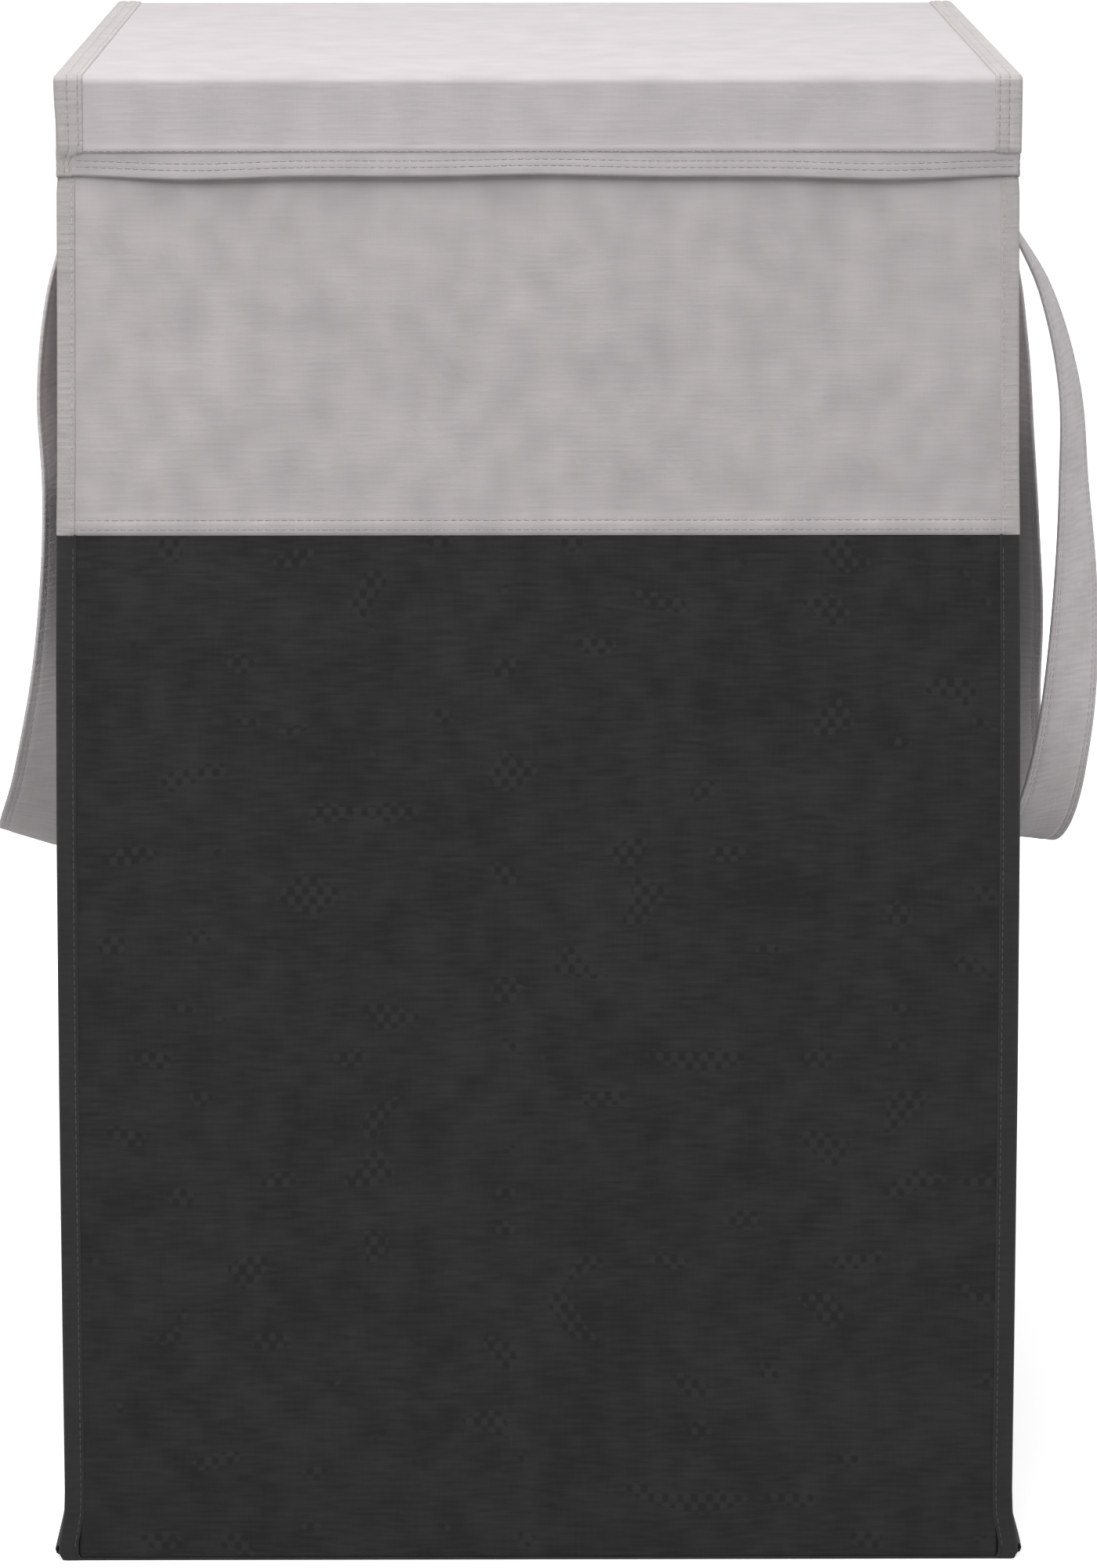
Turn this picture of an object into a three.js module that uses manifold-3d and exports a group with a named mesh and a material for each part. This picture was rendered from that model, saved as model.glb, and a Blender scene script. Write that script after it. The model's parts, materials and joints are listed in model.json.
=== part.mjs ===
// Laundry hamper with two bins: a tall box of board-stiffened fabric with a hinged lid and two strap
// handles. Millimetres, +Z up, front facing -Y, origin at the centre of the underside on the floor.
import * as THREE from 'three';
import { mergeVertices } from 'three/addons/utils/BufferGeometryUtils.js';
import Module from 'manifold-3d';

const wasm = await Module();
wasm.setup();

// Overall sizes
const bodyWidth = 400;
const bodyDepth = 380;
const overallHeight = 647;
const bandSeamHeight = 452;

// Layers of the walls, the lid and the base
const coverThickness = 1.2;
const boardThickness = 2.4;
const liningThickness = 0.8;
const layerGap = 0.2;

// Tape that binds the corners and the edges
const bindingWidth = 10;
const bindingThickness = 1.2;

// Lid, its hanging rim and its fabric hinge
const rimClearance = 0.8;
const restGap = 0.3;
const rimDrop = 44;
const rimWave = 3.5;
const hingeStripHeight = 52;
const hingeStripThickness = 1;
const hingeStripInset = 1;
const hingeClearance = 0.4;

// Strap handles
const strapWidth = 37;
const strapThickness = 2.4;
const strapSpacing = 156;
const strapHang = 305;
const strapBulge = 36;
const tabHeight = 15;
const tabToRimGap = 1.5;
const strapRingsPerHalf = 24;

// Folding side walls and the flared seam along each bottom edge
const creaseGap = 2;
const seamFinReach = 10;
const seamFinHeight = 22;
const seamFinTipHeight = 5;
const seamFinFoot = 5;

// Inside: loose base board, divider, two lift-out bags and their pull tabs
const looseFit = 0.8;
const dividerDrop = 12;
const bagDrop = 20;
const bagWall = 0.8;
const bagTapeHeight = 15;
const pullTabWidth = 30;
const pullTabHeight = 70;
const pullTabThickness = 1.5;
const pullTabDrop = 5;

// One overrun serves every cut
const cutOverrun = 5;

// Colours of the real materials
const materials = {
  paleFabric: new THREE.MeshStandardMaterial({ color: 0xb2acad, roughness: 0.92, metalness: 0 }),
  lidFabric: new THREE.MeshStandardMaterial({ color: 0xd8d2d4, roughness: 0.92, metalness: 0 }),
  blackFabric: new THREE.MeshStandardMaterial({ color: 0x32332d, roughness: 0.9, metalness: 0 }),
  paleTape: new THREE.MeshStandardMaterial({ color: 0xb8b2b2, roughness: 0.85, metalness: 0 }),
  blackTape: new THREE.MeshStandardMaterial({ color: 0x2b2b27, roughness: 0.85, metalness: 0 }),
  strapWebbing: new THREE.MeshStandardMaterial({ color: 0xa9a3a4, roughness: 0.88, metalness: 0 }),
  greyBoard: new THREE.MeshStandardMaterial({ color: 0x8d8478, roughness: 0.95, metalness: 0 }),
  lining: new THREE.MeshStandardMaterial({ color: 0x3a3a38, roughness: 0.95, metalness: 0 }),
  bagCloth: new THREE.MeshStandardMaterial({ color: 0xcfcac4, roughness: 0.9, metalness: 0 }),
};

// Levels and faces that the pieces share
const halfWidth = bodyWidth / 2;
const halfDepth = bodyDepth / 2;
const boardOuter = coverThickness + layerGap;
const boardInner = boardOuter + boardThickness;
const liningOuter = boardInner + layerGap;
const wallThickness = liningOuter + liningThickness;
const wallFoot = coverThickness + layerGap;
const lidThickness = wallThickness;
const lidUnderside = overallHeight - lidThickness;
const bodyTop = lidUnderside - restGap;
const panelTop = bodyTop - bindingWidth - layerGap;
const boardTop = bodyTop - bindingThickness - layerGap;
const panelHalfWidth = halfWidth - bindingWidth - layerGap;
const panelHalfDepth = halfDepth - bindingWidth - layerGap;

const hamper = new THREE.Group();
const shell = new THREE.Group();
const bins = new THREE.Group();
const lid = new THREE.Group();
const handles = new THREE.Group();
hamper.add(shell, bins, lid, handles);

const sides = [['left', -1], ['right', 1]];
const ends = [['front', -1], ['back', 1]];

// A span [near, far] measured outwards from the middle, put on the side that sign gives
function mirrored(sign, near, far) {
  return sign > 0 ? [near, far] : [-far, -near];
}

// A flat panel or strip between two planes in each direction
function addPanel(group, name, material, x, y, z) {
  const geometry = new THREE.BoxGeometry(x[1] - x[0], y[1] - y[0], z[1] - z[0]);
  const mesh = new THREE.Mesh(geometry, material);
  mesh.name = name;
  mesh.position.set((x[0] + x[1]) / 2, (y[0] + y[1]) / 2, (z[0] + z[1]) / 2);
  group.add(mesh);
}

// An outline carried along one axis. The outline's points are the two other coordinates, in X, Y, Z order.
const runBases = {
  x: [new THREE.Vector3(0, 1, 0), new THREE.Vector3(0, 0, 1), new THREE.Vector3(1, 0, 0)],
  y: [new THREE.Vector3(1, 0, 0), new THREE.Vector3(0, 0, 1), new THREE.Vector3(0, -1, 0)],
  z: [new THREE.Vector3(1, 0, 0), new THREE.Vector3(0, 1, 0), new THREE.Vector3(0, 0, 1)],
};

function addRun(group, name, material, axis, shape, span) {
  const geometry = new THREE.ExtrudeGeometry(shape, { depth: span[1] - span[0], bevelEnabled: false });
  geometry.applyMatrix4(new THREE.Matrix4().makeBasis(...runBases[axis]));
  const mesh = new THREE.Mesh(geometry, material);
  mesh.name = name;
  mesh.position[axis] = axis === 'y' ? span[1] : span[0];
  group.add(mesh);
}

function outline(points) {
  return new THREE.Shape(points.map(([a, b]) => new THREE.Vector2(a, b)));
}

function toSolid(geometry) {
  const bare = geometry.clone();
  bare.deleteAttribute('normal');
  bare.deleteAttribute('uv');
  const merged = mergeVertices(bare);
  const vertProperties = Float32Array.from(merged.attributes.position.array);
  const triVerts = Uint32Array.from(merged.index.array);
  return new wasm.Manifold(new wasm.Mesh({ numProp: 3, vertProperties, triVerts }));
}

function toGeometry(solid) {
  const mesh = solid.getMesh();
  const geometry = new THREE.BufferGeometry();
  geometry.setAttribute('position', new THREE.BufferAttribute(mesh.vertProperties, 3));
  geometry.setIndex(new THREE.BufferAttribute(mesh.triVerts, 1));
  geometry.computeVertexNormals();
  return geometry;
}

function boxBetween(x, y, z) {
  const box = new THREE.BoxGeometry(x[1] - x[0], y[1] - y[0], z[1] - z[0]);
  return box.translate((x[0] + x[1]) / 2, (y[0] + y[1]) / 2, (z[0] + z[1]) / 2);
}

// Base: the outer fabric that the walls are sewn to, and the loose board that lies inside on it
const baseCover = [0, coverThickness];
const baseBoardFloor = wallFoot;
const baseBoardTop = baseBoardFloor + boardThickness;
const innerHalfWidth = halfWidth - wallThickness;
const innerHalfDepth = halfDepth - wallThickness;

addPanel(shell, 'base_cover', materials.blackFabric,
  [-halfWidth, halfWidth], [-halfDepth, halfDepth], baseCover);
addPanel(bins, 'base_board', materials.greyBoard,
  [looseFit - innerHalfWidth, innerHalfWidth - looseFit],
  [looseFit - innerHalfDepth, innerHalfDepth - looseFit],
  [baseBoardFloor, baseBoardTop]);

// Outer fabric: a black lower panel and a pale upper band on each wall, sewn together at the band seam
const coverTiers = [
  ['lower', materials.blackFabric, [wallFoot, bandSeamHeight - layerGap]],
  ['upper', materials.paleFabric, [bandSeamHeight, panelTop]],
];
for (const [tier, material, height] of coverTiers) {
  for (const [end, sign] of ends) {
    addPanel(shell, `${end}_${tier}_cover`, material,
      [-panelHalfWidth, panelHalfWidth], mirrored(sign, halfDepth - coverThickness, halfDepth), height);
  }
  for (const [side, sign] of sides) {
    addPanel(shell, `${side}_${tier}_cover`, material,
      mirrored(sign, halfWidth - coverThickness, halfWidth), [-panelHalfDepth, panelHalfDepth], height);
  }
}

// Stiffening boards: one in the front and back walls, two halves with a crease between in each side wall
const boardHalfWidth = halfWidth - boardOuter;
const sideBoardEnd = halfDepth - boardInner - layerGap;
for (const [end, sign] of ends) {
  addPanel(shell, `${end}_board`, materials.greyBoard,
    [-boardHalfWidth, boardHalfWidth], mirrored(sign, halfDepth - boardInner, halfDepth - boardOuter),
    [wallFoot, boardTop]);
  for (const [side, sideSign] of sides) {
    addPanel(shell, `${side}_${end}_board`, materials.greyBoard,
      mirrored(sideSign, halfWidth - boardInner, halfWidth - boardOuter),
      mirrored(sign, creaseGap / 2, sideBoardEnd), [wallFoot, boardTop]);
  }
}

// Inner lining on the four walls
const liningHalfWidth = halfWidth - liningOuter;
const sideLiningEnd = innerHalfDepth - layerGap;
for (const [end, sign] of ends) {
  addPanel(shell, `${end}_lining`, materials.lining,
    [-liningHalfWidth, liningHalfWidth], mirrored(sign, innerHalfDepth, halfDepth - liningOuter),
    [wallFoot, panelTop]);
}
for (const [side, sign] of sides) {
  addPanel(shell, `${side}_lining`, materials.lining,
    mirrored(sign, innerHalfWidth, halfWidth - liningOuter), [-sideLiningEnd, sideLiningEnd],
    [wallFoot, panelTop]);
}

// Corner bindings: folded tape over each vertical corner, black below the band seam and pale above it
const cornerTiers = [
  ['lower', materials.blackTape, [wallFoot, bandSeamHeight - layerGap]],
  ['upper', materials.paleTape, [bandSeamHeight, bodyTop]],
];
for (const [end, endSign] of ends) {
  for (const [side, sideSign] of sides) {
    const outerX = sideSign * halfWidth;
    const outerY = endSign * halfDepth;
    const skinX = sideSign * (halfWidth - coverThickness);
    const skinY = endSign * (halfDepth - coverThickness);
    const edgeX = sideSign * (halfWidth - bindingWidth);
    const edgeY = endSign * (halfDepth - bindingWidth);
    const fold = outline([
      [outerX, outerY], [edgeX, outerY], [edgeX, skinY], [skinX, skinY], [skinX, edgeY], [outerX, edgeY],
    ]);
    for (const [tier, material, height] of cornerTiers) {
      addRun(shell, `${end}_${side}_${tier}_corner_binding`, material, 'z', fold, height);
    }
  }
}

// Top bindings: tape folded over the top of each wall, between the corner bindings
function topFold(sign, half) {
  const faces = [half, half - coverThickness, half - wallThickness + liningThickness, half - wallThickness];
  const [outer, outerLeg, innerLeg, inner] = faces.map((face) => sign * face);
  const legFoot = bodyTop - bindingWidth;
  const bridge = bodyTop - bindingThickness;
  return outline([
    [outer, legFoot], [outer, bodyTop], [inner, bodyTop], [inner, legFoot],
    [innerLeg, legFoot], [innerLeg, bridge], [outerLeg, bridge], [outerLeg, legFoot],
  ]);
}
for (const [end, sign] of ends) {
  addRun(shell, `${end}_top_binding`, materials.paleTape, 'x', topFold(sign, halfDepth),
    [-panelHalfWidth, panelHalfWidth]);
}
for (const [side, sign] of sides) {
  addRun(shell, `${side}_top_binding`, materials.paleTape, 'y', topFold(sign, halfWidth),
    [-panelHalfDepth, panelHalfDepth]);
}

// Bottom seams: the turned-out seam allowance that flares along each side at the floor
for (const [side, sign] of sides) {
  const seamFace = halfWidth + layerGap;
  const fin = outline([
    [sign * seamFace, 0],
    [sign * (seamFace + seamFinFoot), 0],
    [sign * (seamFace + seamFinReach), seamFinTipHeight],
    [sign * seamFace, seamFinHeight],
  ]);
  addRun(shell, `${side}_bottom_seam`, materials.blackTape, 'y', fin, [-halfDepth, halfDepth]);
}

// Divider between the two bins: a board in a folded fabric sleeve, standing on the base board
const dividerFoot = baseBoardTop + layerGap;
const dividerTop = bodyTop - dividerDrop;
const dividerHalf = boardThickness / 2 + layerGap + liningThickness;
const dividerSpan = [looseFit - innerHalfDepth, innerHalfDepth - looseFit];
const sleeveInner = dividerHalf - liningThickness;
const sleeveBridge = dividerTop - liningThickness;

addPanel(bins, 'divider_board', materials.greyBoard,
  [-boardThickness / 2, boardThickness / 2], dividerSpan, [dividerFoot, sleeveBridge - layerGap]);
addRun(bins, 'divider_sleeve', materials.lining, 'y', outline([
  [-dividerHalf, dividerFoot], [-dividerHalf, dividerTop], [dividerHalf, dividerTop],
  [dividerHalf, dividerFoot], [sleeveInner, dividerFoot], [sleeveInner, sleeveBridge],
  [-sleeveInner, sleeveBridge], [-sleeveInner, dividerFoot],
]), dividerSpan);

// Lift-out bag in each bin: a thin cloth bag, the tape round its mouth and two pull tabs
const bagFloor = baseBoardTop + layerGap;
const bagTop = bodyTop - bagDrop;
const bagWallTop = bagTop - bagTapeHeight - layerGap;
const bagNear = dividerHalf + looseFit;
const bagFar = innerHalfWidth - looseFit;
const bagEnd = innerHalfDepth - looseFit;
const bagMiddle = (bagNear + bagFar) / 2;

function openBox(x, y, z, floorThickness) {
  const outer = toSolid(boxBetween(x, y, z));
  const hollow = toSolid(boxBetween(
    [x[0] + bagWall, x[1] - bagWall], [y[0] + bagWall, y[1] - bagWall],
    [z[0] + floorThickness, z[1] + cutOverrun]));
  return toGeometry(outer.subtract(hollow));
}
for (const [side, sign] of sides) {
  const across = mirrored(sign, bagNear, bagFar);
  const along = [-bagEnd, bagEnd];
  const bag = new THREE.Mesh(openBox(across, along, [bagFloor, bagWallTop], bagWall), materials.bagCloth);
  bag.name = `${side}_bag`;
  const tape = new THREE.Mesh(openBox(across, along, [bagTop - bagTapeHeight, bagTop], -cutOverrun),
    materials.paleTape);
  tape.name = `${side}_bag_mouth_tape`;
  bins.add(bag, tape);
  for (const [end, endSign] of ends) {
    const tabOuter = bagEnd - bagWall - layerGap;
    const tabTop = bagTop - pullTabDrop;
    addPanel(bins, `${side}_bag_${end}_pull_tab`, materials.strapWebbing,
      mirrored(sign, bagMiddle - pullTabWidth / 2, bagMiddle + pullTabWidth / 2),
      mirrored(endSign, tabOuter - pullTabThickness, tabOuter), [tabTop - pullTabHeight, tabTop]);
  }
}

// Lid: lining, board and top fabric, with the hanging rim on the front and both sides
const rimInnerX = halfWidth + rimClearance;
const rimOuterX = rimInnerX + coverThickness;
const rimInnerY = halfDepth + rimClearance;
const rimOuterY = rimInnerY + coverThickness;
const lidBack = halfDepth;
const lidBoardFloor = lidUnderside + liningThickness + layerGap;
const lidBoardTop = lidBoardFloor + boardThickness;
const lidSkin = overallHeight - coverThickness;
const rimFoot = overallHeight - rimDrop;
const lidPanelHalf = rimOuterX - bindingWidth - layerGap;
const lidCoreHalf = rimInnerX - layerGap;
const lidCoreFront = layerGap - rimInnerY;
const lidCoreDepth = [lidCoreFront, lidBack];

addPanel(lid, 'lid_lining', materials.lining,
  [-lidCoreHalf, lidCoreHalf], lidCoreDepth, [lidUnderside, lidUnderside + liningThickness]);
addPanel(lid, 'lid_board', materials.greyBoard,
  [-lidCoreHalf, lidCoreHalf], lidCoreDepth, [lidBoardFloor, lidBoardTop]);
addPanel(lid, 'lid_top_cover', materials.lidFabric,
  [-lidPanelHalf, lidPanelHalf], [-rimOuterY, lidBack], [lidSkin, overallHeight]);
for (const [side, sign] of sides) {
  addPanel(lid, `lid_${side}_rim`, materials.paleFabric,
    mirrored(sign, rimInnerX, rimOuterX), [layerGap - rimInnerY, lidBack], [rimFoot, lidSkin - layerGap]);
}

// Front rim of the lid, with the soft wave of its lower edge
const waveAcrossShares = [-1, -0.85, -0.45, 0, 0.5, 0.8, 1];
const waveLiftShares = [0.3, 0, 0.7, 1, 0.45, 0, 0.3];
const waveEdge = waveAcrossShares.map((share, index) => (
  new THREE.Vector2(share * lidPanelHalf, rimFoot + waveLiftShares[index] * rimWave)));
const frontRim = new THREE.Shape();
frontRim.moveTo(lidPanelHalf, lidSkin - layerGap);
frontRim.lineTo(-lidPanelHalf, lidSkin - layerGap);
frontRim.lineTo(waveEdge[0].x, waveEdge[0].y);
frontRim.splineThru(waveEdge.slice(1));
frontRim.closePath();
addRun(lid, 'lid_front_rim', materials.paleFabric, 'y', frontRim, [-rimOuterY, -rimInnerY]);

// Tape along each side of the lid's top, turned down over the end of the front rim
for (const [side, sign] of sides) {
  const tapeFoot = rimFoot + waveLiftShares[0] * rimWave;
  const edgeFold = outline([
    [lidBack, overallHeight], [-rimOuterY, overallHeight], [-rimOuterY, tapeFoot],
    [-rimInnerY, tapeFoot], [-rimInnerY, lidSkin], [lidBack, lidSkin],
  ]);
  addRun(lid, `lid_${side}_edge_binding`, materials.paleTape, 'x', edgeFold,
    mirrored(sign, rimOuterX - bindingWidth, rimOuterX));
}

// Fabric hinge: a strip sewn to the back wall, folding at the lid's top back edge
const stripFace = halfDepth + layerGap;
const hingeY = stripFace + hingeStripThickness + layerGap;
const stripHalf = panelHalfWidth - hingeStripInset;
addPanel(shell, 'lid_hinge_strip', materials.paleFabric,
  [-stripHalf, stripHalf], [stripFace, stripFace + hingeStripThickness],
  [overallHeight - hingeClearance - hingeStripHeight, overallHeight - hingeClearance]);

// Strap handles: sewn tabs on the side walls, and a free loop that hangs, bulges out and twists
const tabTop = rimFoot - tabToRimGap;
const tabFoot = tabTop - tabHeight;
const strapTop = tabFoot - restGap;
const strapFace = halfWidth + restGap;
const strapMid = strapFace + strapThickness / 2;
const turnRadius = strapSpacing / 2;
const legLength = strapHang - turnRadius;
const halfLoop = legLength + turnRadius * Math.PI / 2;
const bulgeShares = {
  left: {
    front: [0, 0.2, 0.27, 0.28, 0.27, 0.31, 0.42, 0.62, 0.72],
    back: [0, 0.5, 0.7, 0.71, 0.6, 0.57, 0.6, 0.66, 0.72],
  },
  right: {
    front: [0, 0.57, 0.88, 0.98, 1, 0.97, 0.77, 0.57, 0.53],
    back: [0, 0.48, 0.67, 0.7, 0.72, 0.75, 0.64, 0.55, 0.53],
  },
};
const quarterTurnShares = [0, 0.05, 0.12, 0.19, 0.285, 0.38, 0.56, 0.8, 1];

// A smooth value between evenly spaced shares, for a place from 0 to 1
function smoothShare(shares, place) {
  const last = shares.length - 1;
  const i = Math.min(Math.floor(place * last), last - 1);
  const t = place * last - i;
  const before = shares[Math.max(i - 1, 0)];
  const after = shares[Math.min(i + 2, last)];
  const slopeIn = (shares[i + 1] - before) / 2;
  const slopeOut = (after - shares[i]) / 2;
  const rise = shares[i + 1] - shares[i];
  const squared = 3 * rise - 2 * slopeIn - slopeOut;
  const cubed = slopeIn + slopeOut - 2 * rise;
  return shares[i] + t * (slopeIn + t * (squared + t * cubed));
}

// Place of the strap's middle and the way out of its loop; along runs down the front leg and up the back one
function strapPoint(side, along) {
  const half = along <= 0.5 ? along * 2 : (1 - along) * 2;
  const run = half * halfLoop;
  const turn = Math.max(run - legLength, 0) / turnRadius;
  const mirror = along <= 0.5 ? -1 : 1;
  const drop = Math.min(run, legLength) + turnRadius * Math.sin(turn);
  const x = strapMid + strapBulge * smoothShare(bulgeShares[side][along <= 0.5 ? 'front' : 'back'], half);
  const place = new THREE.Vector3(x, mirror * turnRadius * Math.cos(turn), strapTop - drop);
  const outward = new THREE.Vector3(0, mirror * Math.cos(turn), -Math.sin(turn));
  return { place, outward, half };
}

function strapLoop(side, sign) {
  const rings = 2 * strapRingsPerHalf;
  const positions = [];
  for (let ring = 0; ring <= rings; ring += 1) {
    const along = ring / rings;
    const { place, outward, half } = strapPoint(side, along);
    const step = 0.5 / rings;
    const travel = strapPoint(side, Math.min(along + step, 1)).place;
    travel.sub(strapPoint(side, Math.max(along - step, 0)).place).normalize();
    if (ring === 0 || ring === rings) travel.set(0, 0, ring === 0 ? -1 : 1);
    const angle = smoothShare(quarterTurnShares, half) * Math.PI / 2;
    const across = new THREE.Vector3(Math.sin(angle), 0, 0).addScaledVector(outward, -Math.cos(angle));
    across.addScaledVector(travel, -across.dot(travel)).normalize();
    const face = new THREE.Vector3().crossVectors(across, travel).normalize();
    for (const [a, b] of [[-1, -1], [1, -1], [1, 1], [-1, 1]]) {
      const corner = place.clone().addScaledVector(across, a * strapWidth / 2);
      corner.addScaledVector(face, b * strapThickness / 2);
      positions.push(sign * corner.x, corner.y, corner.z);
    }
  }
  const index = [];
  const face = (a, b, c) => index.push(...(sign < 0 ? [a, b, c] : [a, c, b]));
  for (let ring = 0; ring < rings; ring += 1) {
    for (let k = 0; k < 4; k += 1) {
      const a = 4 * ring + k;
      const b = 4 * ring + (k + 1) % 4;
      face(a, b, b + 4);
      face(a, b + 4, a + 4);
    }
  }
  const end = 4 * rings;
  face(0, 2, 1);
  face(0, 3, 2);
  face(end, end + 1, end + 2);
  face(end, end + 2, end + 3);
  const geometry = new THREE.BufferGeometry();
  geometry.setAttribute('position', new THREE.Float32BufferAttribute(positions, 3));
  geometry.setIndex(index);
  geometry.computeVertexNormals();
  return geometry;
}

for (const [side, sign] of sides) {
  for (const [end, endSign] of ends) {
    addPanel(shell, `${side}_${end}_strap_tab`, materials.strapWebbing,
      mirrored(sign, strapFace, strapFace + strapThickness),
      mirrored(endSign, turnRadius - strapWidth / 2, turnRadius + strapWidth / 2), [tabFoot, tabTop]);
  }
  const loop = new THREE.Mesh(strapLoop(side, sign), materials.strapWebbing);
  loop.name = `${side}_strap`;
  handles.add(loop);
}

export default hamper;
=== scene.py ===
import json
import math

import bpy
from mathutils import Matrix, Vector, noise


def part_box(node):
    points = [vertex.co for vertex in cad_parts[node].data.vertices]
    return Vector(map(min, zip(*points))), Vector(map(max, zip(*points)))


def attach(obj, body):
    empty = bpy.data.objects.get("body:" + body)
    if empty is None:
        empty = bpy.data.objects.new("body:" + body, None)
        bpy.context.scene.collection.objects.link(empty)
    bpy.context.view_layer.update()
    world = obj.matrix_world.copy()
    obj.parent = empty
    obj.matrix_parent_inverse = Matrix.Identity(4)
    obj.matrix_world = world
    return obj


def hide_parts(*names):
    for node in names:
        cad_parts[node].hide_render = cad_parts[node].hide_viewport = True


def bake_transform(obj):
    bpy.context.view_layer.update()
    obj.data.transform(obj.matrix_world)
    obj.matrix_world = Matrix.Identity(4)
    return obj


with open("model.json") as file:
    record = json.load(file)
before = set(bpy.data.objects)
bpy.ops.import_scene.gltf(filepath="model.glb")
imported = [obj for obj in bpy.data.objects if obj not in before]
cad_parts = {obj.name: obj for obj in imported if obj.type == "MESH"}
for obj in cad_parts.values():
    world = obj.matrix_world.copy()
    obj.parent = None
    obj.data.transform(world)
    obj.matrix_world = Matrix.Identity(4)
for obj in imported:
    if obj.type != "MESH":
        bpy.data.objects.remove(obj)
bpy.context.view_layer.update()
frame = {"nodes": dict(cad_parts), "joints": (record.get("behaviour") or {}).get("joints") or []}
scene = bpy.context.scene
scene.view_settings.view_transform = "Standard"


# Camera. It stands in front of the hamper, a little above its lid, and looks slightly down
# through a long lens. The lens is shifted, as on a view camera, so the walls stay upright.
camera_place = Vector((-0.0097, -2.543, 0.865))
camera_fall = math.radians(9.6)
camera_turn = math.radians(0.34)
camera_lens = 129.96
camera_sensor = 36
camera_shift_share = -0.18

camera_look = Vector((
    math.sin(camera_turn) * math.cos(camera_fall),
    math.cos(camera_turn) * math.cos(camera_fall),
    -math.sin(camera_fall),
))
camera_data = bpy.data.cameras.new("camera")
camera_data.lens = camera_lens
camera_data.sensor_width = camera_sensor
camera_data.shift_y = camera_shift_share
camera = bpy.data.objects.new("camera", camera_data)
camera.location = camera_place
camera.rotation_euler = camera_look.to_track_quat("-Z", "Y").to_euler()
scene.collection.objects.link(camera)
scene.camera = camera


# Studio. A pale floor that runs past the picture on every side, and a pale room that gives even
# light. The floor shows the hamper's shadow and grows white further off. Five large soft lamps:
# one overhead, one high in front, and weaker ones low on the left, on the right and behind.
floor_reach = 9.0
floor_colour = (0.6, 0.6, 0.6, 1)
floor_roughness = 0.8
white = (1, 1, 1, 1)
floor_lift_near = 0.74
floor_lift_far = 1
floor_lift_reach = (0.45, 1.5)
room_light = 0.08
# Each lamp: its name, its place, the width of its square and its power in watts
lamps = (
    ("overhead_lamp", Vector((-0.38, -0.48, 2.6)), 1.7, 43.5),
    ("key_lamp", Vector((-0.5, -1.95, 2.25)), 1.2, 39.5),
    ("left_front_lamp", Vector((-1.4, -2.0, 0.35)), 1.2, 2.5),
    ("right_side_lamp", Vector((2.3, -0.3, 0.9)), 1.2, 16.0),
    ("back_lamp", Vector((0.3, 2.5, 1.1)), 1.4, 26.0),
)
lamp_target = Vector((0, 0, 0.34))


def seen_directly(tree):
    """1 for what the camera, a gloss or a clear material sees, 0 for light that reaches a surface."""
    path = tree.nodes.new("ShaderNodeLightPath")
    total = path.outputs["Is Camera Ray"]
    for kind in ("Is Glossy Ray", "Is Transmission Ray"):
        larger = tree.nodes.new("ShaderNodeMath")
        larger.operation = "MAXIMUM"
        tree.links.new(total, larger.inputs[0])
        tree.links.new(path.outputs[kind], larger.inputs[1])
        total = larger.outputs[0]
    return total


world = bpy.data.worlds.new("pale_room")
world.use_nodes = True
scene.world = world
room = world.node_tree
room_background = room.nodes["Background"]
room_strength = room.nodes.new("ShaderNodeMapRange")
room_strength.inputs["To Min"].default_value = room_light
room_strength.inputs["To Max"].default_value = 1
room.links.new(seen_directly(room), room_strength.inputs["Value"])
room.links.new(room_strength.outputs["Result"], room_background.inputs["Strength"])
room_background.inputs["Color"].default_value = white

floor_material = bpy.data.materials.new("pale_floor")
floor_material.use_nodes = True
floor_tree = floor_material.node_tree
floor_shader = floor_tree.nodes["Principled BSDF"]
floor_shader.inputs["Base Color"].default_value = floor_colour
floor_shader.inputs["Roughness"].default_value = floor_roughness
floor_shader.inputs["Specular IOR Level"].default_value = 0
floor_place = floor_tree.nodes.new("ShaderNodeTexCoord")
floor_distance = floor_tree.nodes.new("ShaderNodeVectorMath")
floor_distance.operation = "LENGTH"
floor_tree.links.new(floor_place.outputs["Object"], floor_distance.inputs[0])
floor_lift = floor_tree.nodes.new("ShaderNodeMapRange")
floor_lift.interpolation_type = "SMOOTHSTEP"
floor_lift.inputs["From Min"].default_value = floor_lift_reach[0]
floor_lift.inputs["From Max"].default_value = floor_lift_reach[1]
floor_lift.inputs["To Min"].default_value = floor_lift_near
floor_lift.inputs["To Max"].default_value = floor_lift_far
floor_tree.links.new(floor_distance.outputs["Value"], floor_lift.inputs["Value"])
floor_glow = floor_tree.nodes.new("ShaderNodeMath")
floor_glow.operation = "MULTIPLY"
floor_tree.links.new(seen_directly(floor_tree), floor_glow.inputs[0])
floor_tree.links.new(floor_lift.outputs["Result"], floor_glow.inputs[1])
floor_shader.inputs["Emission Color"].default_value = white
floor_tree.links.new(floor_glow.outputs[0], floor_shader.inputs["Emission Strength"])

floor_mesh = bpy.data.meshes.new("floor")
floor_signs = ((-1, -1), (1, -1), (1, 1), (-1, 1))
floor_corners = [(x * floor_reach, y * floor_reach, 0) for x, y in floor_signs]
floor_mesh.from_pydata(floor_corners, [], [(0, 1, 2, 3)])
floor_mesh.materials.append(floor_material)
floor = bpy.data.objects.new("floor", floor_mesh)
scene.collection.objects.link(floor)

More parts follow.
